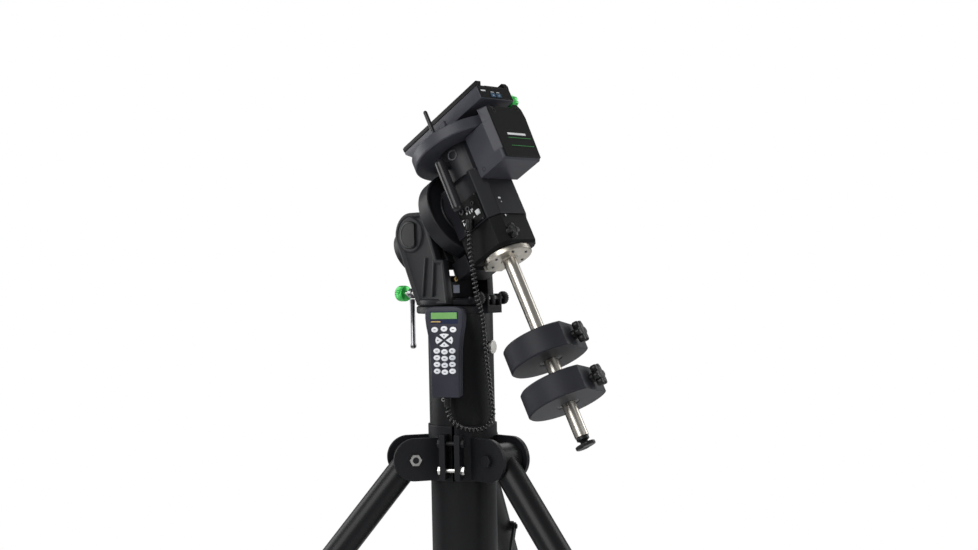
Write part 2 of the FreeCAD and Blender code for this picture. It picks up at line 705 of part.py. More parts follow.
SADDLE_KNOBS = (-96, 118)
ALONG_SADDLE = Rotation(0.5, 0.5, 0.5, 0.5)


def make_saddle_jaw():
    """Moving east jaw, undercut like the fixed one."""
    low, top = float(d.saddle_floor) - 0.7, float(d.saddle_top)
    south, north, east = float(d.saddle_south), float(d.saddle_north), float(d.saddle_east)
    shape = [(35, low), (east, low), (east, top - 6), (east - 6, top), (30, top)]
    jaw = outline(shape, north - south)
    jaw.Placement = Placement(Vector(south, 0, 0), ALONG_SADDLE)
    return keep(jaw, "saddle_jaw", HEAD)


def make_saddle_knob(label, place):
    """Green knob on a screw that draws the jaw in."""
    grip = knob(8, 19, 22, (place, d.saddle_half + 4, 180), EAST)
    screw = cylinder(5, 44, (place, float(d.saddle_half) - 38, 180), EAST)
    return keep(fuse(grip, screw), label, HEAD)


def make_dec_lever():
    """Slim lever between two cheeks on the disc that works the declination clutch."""
    hinge = d.disc_top + 6.8
    hub = cylinder(6.5, 10, (14, -99, hinge), EAST)
    rod = cylinder(4.8, 60, (14, -94, hinge))
    tip = ball(4.8, (14, -94, hinge + 60))
    return keep(fuse(hub, rod, tip), "dec_clutch_lever", HEAD)


# ---------------------------------------------------------------- handset and cord

HANDSET = COLUMN * Placement(Vector(), Rotation(Vector(0, 0, 1), 90 + float(d.handset_angle))) \
    * Placement(Vector(0, -d.column_radius - d.handset_standoff, d.handset_bottom), Rotation())


def make_handset():
    """Hand controller shell, wide at the display and narrow at the foot."""
    wide, narrow, tall = d.handset_width / 2, 33, d.handset_height
    shape = [(-narrow, 0), (narrow, 0), (narrow + 2, 100), (wide, 150), (wide, tall - 8), (wide - 8, tall),
             (8 - wide, tall), (-wide, tall - 8), (-wide, 150), (-narrow - 2, 100)]
    shell = outline(shape, d.handset_depth)
    shell.Placement = Placement(Vector(), Rotation(Vector(1, 0, 0), 90))
    front = -float(d.handset_depth)
    eased = chamfer(shell, 3, lambda edge: abs(edge.CenterOfMass.y - front) < 0.01)
    display_room = block((-31, front - 1, 172), (31, front + 3, 190))
    key_rooms = [block((x - w - 0.4, front - 1, z - t - 0.4), (x + w + 0.4, front + 4, z + t + 0.4))
                 for x, z, w, t in KEYS]
    return keep(cut(eased, display_room, *key_rooms), "handset_shell", HANDSET)


MENU_KEYS = [(-22, 151, 8, 6), (0, 153, 8, 6), (21, 151, 8, 6)]
ARROW_KEYS = [(0, 137, 8, 5), (0, 118, 8, 5), (-15, 127.5, 5, 6), (15, 127.5, 5, 6)]
NUMBER_KEYS = [(x, z - drop, 8, 6) for z in (104, 89, 74, 59) for x, drop in ((-18, 0), (0, 2), (18, 0))]
KEYS = MENU_KEYS + ARROW_KEYS + NUMBER_KEYS


def make_keys(label, keys):
    front = -float(d.handset_depth)
    caps = [block((x - w, front - 2, z - t), (x + w, front + 2.5, z + t)) for x, z, w, t in keys]
    return keep(group(*caps), label, HANDSET)


def make_display():
    front = -float(d.handset_depth)
    return keep(block((-31, front + 1, 172), (31, front + 3, 190)), "handset_display", HANDSET)


def make_bracket():
    """Plastic holder between the handset and the pier, hollowed to the pier's curve."""
    body = block((-26, 0, 40), (26, 26, 170))
    pier = cylinder(d.column_radius, 200, (0, d.column_radius + d.handset_standoff, 0))
    return keep(cut(body, pier), "handset_bracket", HANDSET)


# The cord hangs from the gland on the connector panel, down the pier's east side, and curls
# back under the handset. Its route is given about the column.
CORD_ROUTE = [
    (111.5, -74, 1176), (111.5, -74, 1136), (120, -74, 1088), (124, -70, 1036), (114, -44, 988),
    (105, -29, 940), (102, -22, 892), (101, -14, 846), (101, -7, 802), (101, -1, 764),
    (98, -6, 744), (92, -26, 731), (83, -52, 730), (72, -76, 738), (58, -89, 753),
    (48.8, -91.8, 770), (48.8, -91.8, 784),
]


def make_cord():
    """One fat tube on straight runs joined by tangent arcs."""
    points = [Vector(*point) for point in CORD_ROUTE]
    edges = []
    last = points[0]
    for before, corner, after in zip(points, points[1:], points[2:]):
        back, ahead = before - corner, after - corner
        turn = math.pi - back.getAngle(ahead)
        reach = 0.45 * min(back.Length, ahead.Length)
        radius = reach / math.tan(turn / 2)
        print(f"cord arc radius {radius:.0f} mm")
        back.normalize()
        ahead.normalize()
        start, end = corner + back * reach, corner + ahead * reach
        inward = back + ahead
        inward.normalize()
        middle = corner + inward * (radius / math.cos(turn / 2) - radius)
        edges += [Part.LineSegment(last, start).toShape(), Part.Arc(start, middle, end).toShape()]
        last = end
    edges.append(Part.LineSegment(last, points[-1]).toShape())
    path = Part.Wire(edges)
    circle = Part.Wire(Part.Circle(points[0], points[1] - points[0], d.cord_radius).toShape())
    cord = doc.addObject("Part::Feature", "Cord")
    cord.Shape = path.makePipeShell([circle], True, False)
    ratio = cord.Shape.Volume / (math.pi * d.cord_radius ** 2 * path.Length)
    print(f"cord length {path.Length:.0f} mm, volume against section times length {ratio:.4f}")
    return keep(cord, "handset_cord")


def make_plug(label, cord_end, length):
    """Round plug that stands on an end of the cord."""
    body = chamfer(cylinder(8, length, cord_end), 1.5, is_rim)
    return keep(body, label)


make_hub()
make_tube("lower_column", d.column_bottom, d.hub_bottom)
make_tube("pier_extension", d.hub_top, d.pier_top)
make_pier_head()
make_hub_bolts()
for leg_number in range(3):
    make_leg(leg_number)
    make_foot(leg_number)
    make_strut(leg_number)
make_collar()
make_fork()
make_tilt_bolts()
make_altitude_knob()
make_altitude_lever()
make_azimuth_knob("azimuth_knob_east", 1)
make_azimuth_knob("azimuth_knob_west", -1)
make_casing()
make_rear_cap()
make_polar_bearings()
make_polar_shaft()
make_wheel("ra_worm_wheel", d.wheel_radius, d.polar_shaft_radius, (-154, 0, 0), NORTH)
make_worm("ra_worm", (-147, -57))
make_motor("ra_motor", (-120, -26, -140), (-86, 34, -112), (-103, -126))
make_dec_housing()
make_end_cap()
make_dec_bearings()
make_wheel("dec_worm_wheel", d.wheel_radius, d.dec_shaft_radius, (0, 0, 56), UP)
make_worm("dec_worm", (57, 63))
make_motor_cover()
make_motor("dec_motor", (80, -26, 60), (122, 34, 102), (101, 81))
make_panel()
make_bar_flange()
make_bar()
make_lock_knob()
make_clutch_handle()
make_weight("counterweight_upper", d.upper_weight)
make_weight("counterweight_lower", d.lower_weight)
make_weight_knob("weight_knob_upper", d.upper_weight)
make_weight_knob("weight_knob_lower", d.lower_weight)
make_safety_knob()
make_dec_shaft()
make_saddle()
make_saddle_jaw()
make_saddle_knob("saddle_knob_south", SADDLE_KNOBS[0])
make_saddle_knob("saddle_knob_north", SADDLE_KNOBS[1])
make_dec_lever()
make_handset()
make_display()
make_keys("handset_menu_keys", MENU_KEYS)
make_keys("handset_arrow_keys", ARROW_KEYS)
make_keys("handset_number_keys", NUMBER_KEYS)
make_bracket()
make_cord()
make_plug("cord_plug_mount", CORD_ROUTE[0], 24)
make_plug("cord_plug_handset", CORD_ROUTE[-1], d.handset_bottom - CORD_ROUTE[-1][2])

doc.recompute()
for item in doc.Objects:
    if "Invalid" in item.State or "Error" in item.State:
        raise RuntimeError(f"{item.Label} failed: {item.State}")
for item in nodes:
    if item.Shape.isNull() or not item.Shape.isValid():
        raise RuntimeError(f"{item.Label} has no valid shape")

os.makedirs("parts", exist_ok=True)
for item in nodes:
    item.Shape.exportStep(f"parts/{item.Label}.step")
print(len(nodes), "sub-parts")
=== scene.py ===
import json
import math

import bmesh
import bpy
from mathutils import Matrix, Vector


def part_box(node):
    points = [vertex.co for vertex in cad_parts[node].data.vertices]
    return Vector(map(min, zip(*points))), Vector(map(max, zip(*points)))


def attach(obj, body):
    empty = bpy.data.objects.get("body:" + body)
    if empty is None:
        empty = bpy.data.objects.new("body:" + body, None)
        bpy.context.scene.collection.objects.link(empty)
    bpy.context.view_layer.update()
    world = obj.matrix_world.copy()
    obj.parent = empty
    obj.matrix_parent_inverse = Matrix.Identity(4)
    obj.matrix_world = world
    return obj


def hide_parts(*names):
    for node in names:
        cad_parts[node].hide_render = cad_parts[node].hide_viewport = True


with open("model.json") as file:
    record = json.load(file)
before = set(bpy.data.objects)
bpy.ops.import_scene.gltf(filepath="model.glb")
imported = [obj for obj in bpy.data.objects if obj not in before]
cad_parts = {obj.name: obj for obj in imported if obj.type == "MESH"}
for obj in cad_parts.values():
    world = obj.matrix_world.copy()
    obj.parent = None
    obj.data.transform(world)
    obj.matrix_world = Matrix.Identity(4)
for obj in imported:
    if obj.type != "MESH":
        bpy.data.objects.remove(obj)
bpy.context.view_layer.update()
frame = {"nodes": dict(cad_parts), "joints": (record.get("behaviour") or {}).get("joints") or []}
joints = {joint["name"]: joint for joint in frame["joints"]}

# Camera: level, north-west of the mount and turned towards it, at the height of the azimuth base.
# It stands about three metres away and leans a little to one side.
pier_low, pier_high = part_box("pier_extension")
COLUMN_X = (pier_low[0] + pier_high[0]) / 2
CAMERA_BEARING = math.radians(44.76)
CAMERA_ROLL = math.radians(-1.23)
across = Vector((math.cos(CAMERA_BEARING), math.sin(CAMERA_BEARING), 0))
ahead = Vector((-math.sin(CAMERA_BEARING), math.cos(CAMERA_BEARING), 0))
leaning_right = across * math.cos(CAMERA_ROLL) + Vector((0, 0, 1)) * math.sin(CAMERA_ROLL)
leaning_up = Vector((0, 0, 1)) * math.cos(CAMERA_ROLL) - across * math.sin(CAMERA_ROLL)
lens = bpy.data.cameras.new("camera")
lens.lens = 50.0
lens.sensor_width = 36.0
camera = bpy.data.objects.new("camera", lens)
bpy.context.scene.collection.objects.link(camera)
turn = Matrix((leaning_right, leaning_up, -ahead)).transposed().to_4x4()
camera.matrix_world = Matrix.Translation((COLUMN_X + 2.2466, -2.1690, 1.076)) @ turn
bpy.context.scene.camera = camera

# Handset cord: a curly cord of black plastic, stretched by its own weight. It hangs from the plug on
# the declination head, down the north side of the pier, and curls back up into the handset.
CORD_ROUTE = [
    (111.5, -74, 1176), (111.5, -74, 1136), (120, -74, 1088), (124, -70, 1036), (114, -44, 988),
    (105, -29, 940), (102, -22, 892), (101, -14, 846), (101, -7, 802), (101, -1, 764),
    (98, -6, 744), (92, -26, 731), (83, -52, 730), (72, -76, 738), (58, -89, 753),
    (48.8, -91.8, 770), (48.8, -91.8, 784),
]
CORD_OUTSIDE = 0.0130
CORD_WIRE = 0.0046
CURL_PITCH = 0.0097
POINTS_PER_CURL = 14


def start_material(name):
    """New material, with its nodes, its links and its shader."""
    material = bpy.data.materials.new(name)
    material.use_nodes = True
    tree = material.node_tree
    return material, tree.nodes, tree.links, tree.nodes["Principled BSDF"]


def noise(nodes, scale, detail=2):
    node = nodes.new("ShaderNodeTexNoise")
    node.inputs["Scale"].default_value = scale
    node.inputs["Detail"].default_value = detail
    return node


def tint_ramp(nodes, stops):
    """Colour ramp between two (position, colour) stops."""
    node = nodes.new("ShaderNodeValToRGB")
    for element, (position, colour) in zip(node.color_ramp.elements, stops):
        element.position = position
        element.color = (*colour, 1)
    return node


def spread(nodes, low, high):
    node = nodes.new("ShaderNodeMapRange")
    node.inputs["To Min"].default_value = low
    node.inputs["To Max"].default_value = high
    return node


def times(factor, colour, extra=0.0):
    return [min(1.0, factor * channel + extra) for channel in colour]


def relief(nodes, strength, distance):
    node = nodes.new("ShaderNodeBump")
    node.inputs["Strength"].default_value = strength
    node.inputs["Distance"].default_value = distance
    return node


def rounded_edges(nodes, radius):
    node = nodes.new("ShaderNodeBevel")
    node.inputs["Radius"].default_value = radius
    return node


def soft_black(name, colour, roughness, grain, specular=0.28):
    """Moulded plastic or rubber with a fine grain."""
    material, nodes, links, shader = start_material(name)
    shader.inputs["Specular IOR Level"].default_value = specular
    place = nodes.new("ShaderNodeTexCoord")
    fine, broad = noise(nodes, grain, 6), noise(nodes, 14)
    tint = tint_ramp(nodes, ((0.3, times(0.8, colour)), (0.75, times(1.25, colour))))
    sheen = spread(nodes, roughness - 0.06, roughness + 0.08)
    bump, edges = relief(nodes, 0.18, 0.0003), rounded_edges(nodes, 0.0008)
    links.new(place.outputs["Object"], fine.inputs["Vector"])
    links.new(place.outputs["Object"], broad.inputs["Vector"])
    links.new(broad.outputs["Fac"], tint.inputs["Fac"])
    links.new(tint.outputs["Color"], shader.inputs["Base Color"])
    links.new(broad.outputs["Fac"], sheen.inputs["Value"])
    links.new(sheen.outputs["Result"], shader.inputs["Roughness"])
    links.new(fine.outputs["Fac"], bump.inputs["Height"])
    links.new(edges.outputs["Normal"], bump.inputs["Normal"])
    links.new(bump.outputs["Normal"], shader.inputs["Normal"])
    return material


cord_plastic = soft_black("cord_plastic", (0.0065, 0.0065, 0.0072), 0.36, 900)
cord_gloss = soft_black("cord_gloss", (0.013, 0.013, 0.014), 0.20, 900, 0.75)
route = bpy.data.curves.new("cord_route", "CURVE")
route.dimensions = "3D"
route.resolution_u = 24
line = route.splines.new("NURBS")
line.points.add(len(CORD_ROUTE) - 1)
for point, (x, y, z) in zip(line.points, CORD_ROUTE):
    point.co = (COLUMN_X + x / 1000, y / 1000, z / 1000, 1)
line.order_u = 3
line.use_endpoint_u = True
route_object = bpy.data.objects.new("cord_route", route)
bpy.context.scene.collection.objects.link(route_object)
route_mesh = bpy.data.meshes.new_from_object(route_object)
centres = [vertex.co.copy() for vertex in route_mesh.vertices]
bpy.data.objects.remove(route_object)
steps = [(b - a).length for a, b in zip(centres, centres[1:])]
curl_count = round(sum(steps) / CURL_PITCH)
curl_radius = (CORD_OUTSIDE - CORD_WIRE) / 2
curls = []
side = Vector((1, 0, 0))
segment = 0
passed = 0.0
for step in range(curl_count * POINTS_PER_CURL + 1):
    wanted = sum(steps) * step / (curl_count * POINTS_PER_CURL)
    while segment < len(steps) - 1 and passed + steps[segment] < wanted:
        passed += steps[segment]
        segment += 1
    start, end = centres[segment], centres[segment + 1]
    spot = start.lerp(end, min(1.0, (wanted - passed) / steps[segment]))
    along = (end - start).normalized()
    side = (side - along * side.dot(along)).normalized()
    other = along.cross(side)
    angle = 2 * math.pi * step / POINTS_PER_CURL
    easing = min(1.0, step / 8, (curl_count * POINTS_PER_CURL - step) / 8)
    curls.append(spot + (side * math.cos(angle) + other * math.sin(angle)) * curl_radius * easing)
curly = bpy.data.curves.new("curly_cord", "CURVE")
curly.dimensions = "3D"
curly.bevel_depth = CORD_WIRE / 2
curly.bevel_resolution = 3
curly.resolution_u = 1
curly.use_fill_caps = True
wire = curly.splines.new("POLY")
wire.points.add(len(curls) - 1)
for point, spot in zip(wire.points, curls):
    point.co = (*spot, 1)
wire.use_smooth = True
curly.materials.append(cord_gloss)
curly_cord = bpy.data.objects.new("curly_cord", curly)
bpy.context.scene.collection.objects.link(curly_cord)
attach(curly_cord, "tripod")
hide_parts("handset_cord")

# Plugs at both ends of the cord: round black bodies with grip rings, each with a short ribbed boot
# over the cord.
AT_COLUMN = Matrix.Translation((COLUMN_X, 0, 0))


def turned(profile, around, sides=64):
    """Mesh turned from (radius, height) points about the local Z axis, in metres."""
    mesh = bmesh.new()
    rings = []
    for radius, height in profile:
        if radius < 1e-6:
            rings.append([mesh.verts.new((0, 0, height))])
            continue
        rings.append([mesh.verts.new((radius * math.cos(2 * math.pi * k / sides),
                                      radius * math.sin(2 * math.pi * k / sides), height))
                      for k in range(sides)])
    for low, high in zip(rings, rings[1:]):
        for k in range(sides):
            following = (k + 1) % sides
            if len(low) == 1 and len(high) == 1:
                continue
            if len(low) == 1:
                mesh.faces.new((low[0], high[k], high[following]))
            elif len(high) == 1:
                mesh.faces.new((low[k], low[following], high[0]))
            else:
                mesh.faces.new((low[k], low[following], high[following], high[k]))
    bmesh.ops.recalc_face_normals(mesh, faces=mesh.faces)
    bmesh.ops.transform(mesh, matrix=around, verts=mesh.verts)
    return mesh


def piece(name, mesh, material, body, bevel=0.0, sharp=35, replaced=(), steps=2):
    """Finish a mesh: rounded edges, smooth shading, material, and the body that it rides on."""
    data = bpy.data.meshes.new(name)
    mesh.to_mesh(data)
    mesh.free()
    made = bpy.data.objects.new(name, data)
    bpy.context.scene.collection.objects.link(made)
    if bevel:
        rounding = made.modifiers.new("rounding", "BEVEL")
        rounding.width = bevel
        rounding.segments = steps
        rounding.limit_method = "ANGLE"
        rounding.angle_limit = math.radians(28)
        rounding.use_clamp_overlap = True
        bpy.context.view_layer.update()
        made.data = bpy.data.meshes.new_from_object(made.evaluated_get(bpy.context.evaluated_depsgraph_get()))
        made.modifiers.clear()
    for face in made.data.polygons:
        face.use_smooth = True
    made.data.set_sharp_from_angle(angle=math.radians(min(sharp, 19) if bevel else sharp))
    made.data.materials.clear()
    made.data.materials.append(material)
    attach(made, body)
    if replaced:
        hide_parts(*replaced)
    return made


def plug_profile(length):
    rings = [(0, 0), (0.0066, 0), (0.0075, 0.001)]
    for groove in range(4):
        height = 0.003 + groove * 0.0028
        rings += [(0.0080, height), (0.0080, height + 0.0014), (0.0072, height + 0.0017),
                  (0.0072, height + 0.0025)]
    return rings + [(0.0080, 0.0150), (0.0080, length - 0.001), (0.0070, length), (0, length)]


for name, end, body in (("plug_at_mount", CORD_ROUTE[0], "declination_head"),
                        ("plug_at_handset", CORD_ROUTE[-1], "tripod")):
    foot = Matrix.Translation([size / 1000 for size in end])
    node = "cord_plug_mount" if body == "declination_head" else "cord_plug_handset"
    low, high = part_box(node)
    piece(name, turned(plug_profile(high[2] - low[2]), AT_COLUMN @ foot, 40), cord_plastic, body,
          replaced=(node,))

# Pier tubes, legs and struts: rolled steel tube under a satin black powder coat with a fine peel.
# Edges are painted lighter, as rubbed wear and as a painted highlight. The tubes are welded and butt against
# the castings.


def powder_coat(name, colour, roughness, peel, edge_radius=0.0015, specular=0.22):
    """Satin paint with orange peel, slow tone changes, and edges painted lighter as rubbed wear and as a
    painted highlight.
    """
    material, nodes, links, shader = start_material(name)
    shader.inputs["Specular IOR Level"].default_value = specular
    place = nodes.new("ShaderNodeTexCoord")
    tone, fine = noise(nodes, 7, 5), noise(nodes, peel, 3)
    ramp = tint_ramp(nodes, ((0.3, times(0.86, colour)), (0.72, times(1.14, colour))))
    edges = rounded_edges(nodes, edge_radius)
    flat = nodes.new("ShaderNodeNewGeometry")
    facing = nodes.new("ShaderNodeVectorMath")
    facing.operation = "DOT_PRODUCT"
    # Painted highlight and wear: at edges, where the bevel normal turns away from the flat normal, the base
    # colour is made lighter.
    edge_wear_and_highlight = spread(nodes, 0.0, 0.35)
    edge_wear_and_highlight.inputs["From Min"].default_value = 0.98
    edge_wear_and_highlight.inputs["From Max"].default_value = 0.85
    edge_wear_and_highlight_mix = nodes.new("ShaderNodeMixRGB")
    edge_wear_and_highlight_mix.inputs["Color2"].default_value = (*times(2.6, colour, 0.02), 1)
    gloss = spread(nodes, roughness - 0.05, roughness + 0.07)
    bump = relief(nodes, 0.22, 0.0003)
    links.new(place.outputs["Object"], tone.inputs["Vector"])
    links.new(place.outputs["Object"], fine.inputs["Vector"])
    links.new(tone.outputs["Fac"], ramp.inputs["Fac"])
    links.new(edges.outputs["Normal"], facing.inputs[0])
    links.new(flat.outputs["Normal"], facing.inputs[1])
    links.new(facing.outputs["Value"], edge_wear_and_highlight.inputs["Value"])
    links.new(edge_wear_and_highlight.outputs["Result"], edge_wear_and_highlight_mix.inputs["Fac"])
    links.new(ramp.outputs["Color"], edge_wear_and_highlight_mix.inputs["Color1"])
    links.new(edge_wear_and_highlight_mix.outputs["Color"], shader.inputs["Base Color"])
    links.new(tone.outputs["Fac"], gloss.inputs["Value"])
    links.new(gloss.outputs["Result"], shader.inputs["Roughness"])
    links.new(fine.outputs["Fac"], bump.inputs["Height"])
    links.new(edges.outputs["Normal"], bump.inputs["Normal"])
    links.new(bump.outputs["Normal"], shader.inputs["Normal"])
    return material


def finish_node(material, *names):
    """Give CAD nodes their finish."""
    for name in names:
        data = frame["nodes"][name].data
        data.materials.clear()
        data.materials.append(material)


pier_enamel = powder_coat("pier_enamel", (0.0070, 0.0072, 0.0080), 0.36, 420)
finish_node(pier_enamel, "lower_column", "pier_extension", "leg_1", "leg_2", "leg_3",
            "strut_1", "strut_2", "strut_3")

# Castings: hub, fixed head of the pier and the sliding collar, in rougher black hammer paint.
casting_black = powder_coat("casting_black", (0.0088, 0.0090, 0.0108), 0.42, 260, 0.0025)
finish_node(casting_black, "pier_hub", "pier_head", "strut_collar")

# Hub bolts: black, but for one leg bolt, the lower clamp bolt and the thumb screw, which are
# bright zinc-plated steel with faint machining rings.


def bright_steel(name, colour, roughness, stretch, strength):
    """Machined steel: fine lines along one axis of the part, slight tone changes."""
    material, nodes, links, shader = start_material(name)
    shader.inputs["Metallic"].default_value = 1.0
    place = nodes.new("ShaderNodeTexCoord")
    mapping = nodes.new("ShaderNodeMapping")
    mapping.vector_type = "TEXTURE"
    mapping.inputs["Rotation"].default_value = (0, math.radians(-28), 0)
    mapping.inputs["Scale"].default_value = stretch
    lines = noise(nodes, 60, 8)
    ramp = tint_ramp(nodes, ((0.3, times(0.88, colour)), (0.7, times(1.1, colour))))
    gloss = spread(nodes, roughness - 0.05, roughness + 0.06)
    bump, edges = relief(nodes, strength, 0.0002), rounded_edges(nodes, 0.0006)
    links.new(place.outputs["Object"], mapping.inputs["Vector"])
    links.new(mapping.outputs["Vector"], lines.inputs["Vector"])
    links.new(lines.outputs["Fac"], ramp.inputs["Fac"])
    links.new(ramp.outputs["Color"], shader.inputs["Base Color"])
    links.new(lines.outputs["Fac"], gloss.inputs["Value"])
    links.new(gloss.outputs["Result"], shader.inputs["Roughness"])
    links.new(lines.outputs["Fac"], bump.inputs["Height"])
    links.new(edges.outputs["Normal"], bump.inputs["Normal"])
    links.new(bump.outputs["Normal"], shader.inputs["Normal"])
    return material


def lying(base, along):
    """Frame at a point whose local Z lies along a direction."""
    return Matrix.Translation(base) @ Vector(along).to_track_quat("Z", "Y").to_matrix().to_4x4()


zinc_steel = bright_steel("zinc_steel", (0.62, 0.61, 0.58), 0.30, (1, 1, 1), 0.10)
dark_steel = bright_steel("dark_steel", (0.12, 0.12, 0.13), 0.36, (1, 1, 1), 0.12)
bolts = frame["nodes"]["hub_bolts"].data
bolts.materials.clear()
bolts.materials.append(casting_black)
bolts.materials.append(zinc_steel)
for face in bolts.polygons:
    leg_bolt = face.center.x < COLUMN_X and face.center.y < -0.03
    lower_clamp = face.center.x > COLUMN_X + 0.02 and face.center.y < -0.04 and face.center.z < 0.655
    face.material_index = int(leg_bolt or lower_clamp or face.center.z > 0.85)
pivot_way = Vector((math.cos(math.radians(240)), math.sin(math.radians(240)), 0))
bolt_way = Vector((0, 0, 1)).cross(pivot_way)
bolt_face = Vector((COLUMN_X, 0, 0.664)) + pivot_way * 0.122 + bolt_way * 0.0510
piece("pivot_bolt_socket", turned([(0, -0.001), (0.0072, -0.001), (0.0072, 0.0006), (0.0060, 0.0010),
                                   (0, 0.0010)],
                                  lying(bolt_face, bolt_way), 40), casting_black,
      "tripod", 0, 30, ())

# Feet: black rubber pads with a coarse moulded grain.
foot_rubber = soft_black("foot_rubber", (0.018, 0.018, 0.018), 0.62, 350)
finish_node(foot_rubber, "foot_1", "foot_2", "foot_3")

# Azimuth base: one casting with a round flange, two tall arms and a web. Each arm is a thick plate
# with a raised rim, a round boss at the altitude bolt and two ribs.
tilt = joints["altitude"]
TILT = Vector(tilt["pos_m"])


def slab(points, near, far, around):
    """Plate with a flat outline in X and Z, from one Y to another."""
    mesh = bmesh.new()
    front = [mesh.verts.new((x, near, z)) for x, z in points]
    back = [mesh.verts.new((x, far, z)) for x, z in points]
    mesh.faces.new(front)
    mesh.faces.new(list(reversed(back)))
    for k, vertex in enumerate(front):
        following = (k + 1) % len(front)
        mesh.faces.new((front[following], vertex, back[k], back[following]))
    bmesh.ops.recalc_face_normals(mesh, faces=mesh.faces)
    bmesh.ops.transform(mesh, matrix=around, verts=mesh.verts)
    return mesh


def add(mesh, other):
    """Put one mesh into another."""
    data = bpy.data.meshes.new("joined")
    other.to_mesh(data)
    other.free()
    mesh.from_mesh(data)
    bpy.data.meshes.remove(data)
    return mesh


def brick(low, high, around):
    x0, y0, z0 = low
    x1, y1, z1 = high
    return slab([(x0, z0), (x1, z0), (x1, z1), (x0, z1)], y0, y1, around)


ARM_INSIDE, ARM_OUTSIDE = 0.070, 0.088
pivot_x, pivot_z = TILT.x - COLUMN_X, TILT.z
fork_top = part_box("fork")[1][2]
crown = fork_top - pivot_z
crown_points = [(pivot_x + crown * math.cos(math.radians(a)), pivot_z + crown * math.sin(math.radians(a)))
                for a in range(90, 196, 8)]
lowest = math.radians(20)
ARM_HEAD = [(pivot_x + 0.061 * math.cos(lowest) - place * math.sin(lowest),
             pivot_z + 0.061 * math.sin(lowest) + place * math.cos(lowest)) for place in (-0.084, 0.016)]
ARM_HEAD += [(-0.034, fork_top)] + crown_points
WEST_FOOT = [(-0.052, 1.012), (0.050, 1.012), (0.050, 1.031), (0.038, 1.112)]
EAST_FOOT = [(-0.066, 1.012), (0.022, 1.012), (0.022, 1.031), (0.018, 1.112)]
for side, name, arm_foot in ((-1, "fork_arm_west", WEST_FOOT), (1, "fork_arm_east", EAST_FOOT)):
    arm = slab(arm_foot + ARM_HEAD, side * ARM_INSIDE, side * ARM_OUTSIDE, AT_COLUMN)
    outer = [face for face in arm.faces if abs(face.calc_center_median().y - side * ARM_OUTSIDE) < 1e-5]
    bmesh.ops.inset_region(arm, faces=outer, thickness=0.009, depth=0.0)
    panel = [face for face in arm.faces if abs(face.calc_center_median().y - side * ARM_OUTSIDE) < 1e-5
             and len(face.verts) > 6]
    bmesh.ops.inset_region(arm, faces=panel, thickness=0.003, depth=-0.004)
    boss_frame = lying((TILT.x, side * 0.080, TILT.z), (0, side, 0))
    add(arm, turned([(0, 0), (0.041, 0), (0.041, 0.0065), (0.038, 0.008), (0, 0.008)], boss_frame, 72))
    for foot_x, head_x in ((-0.036, -0.024), (-0.004, 0.004)):
        rib = [(foot_x, 1.03), (foot_x + 0.008, 1.03), (head_x + 0.006, 1.118), (head_x, 1.118)]
        add(arm, slab(rib, side * 0.082, side * 0.0878, AT_COLUMN))
    piece(name, arm, casting_black, "azimuth_base", 0.0022, 32, ("fork",), 3)

flange_frame = Matrix.Translation((COLUMN_X - 0.012, 0, 0))
flange = turned([(0.040, 1.0088), (0.088, 1.0088), (0.0918, 1.0112), (0.0918, 1.0205), (0.0885, 1.0245),
                 (0.082, 1.0250), (0.040, 1.0250)], flange_frame, 160)
flange.faces.ensure_lookup_table()
add(flange, brick((-0.036, -0.071, 1.0245), (-0.024, 0.071, 1.076), AT_COLUMN))
add(flange, brick((-0.102, -0.016, 1.011), (-0.062, 0.016, 1.052), AT_COLUMN))
add(flange, brick((0.070, -0.005, 1.0088), (0.110, 0.005, 1.032), AT_COLUMN))
piece("azimuth_flange", flange, casting_black, "azimuth_base", 0.0016, 30, ("fork",), 3)

# Flange screws: a ring of small socket-head screws, sunk in the top of the turning flange.


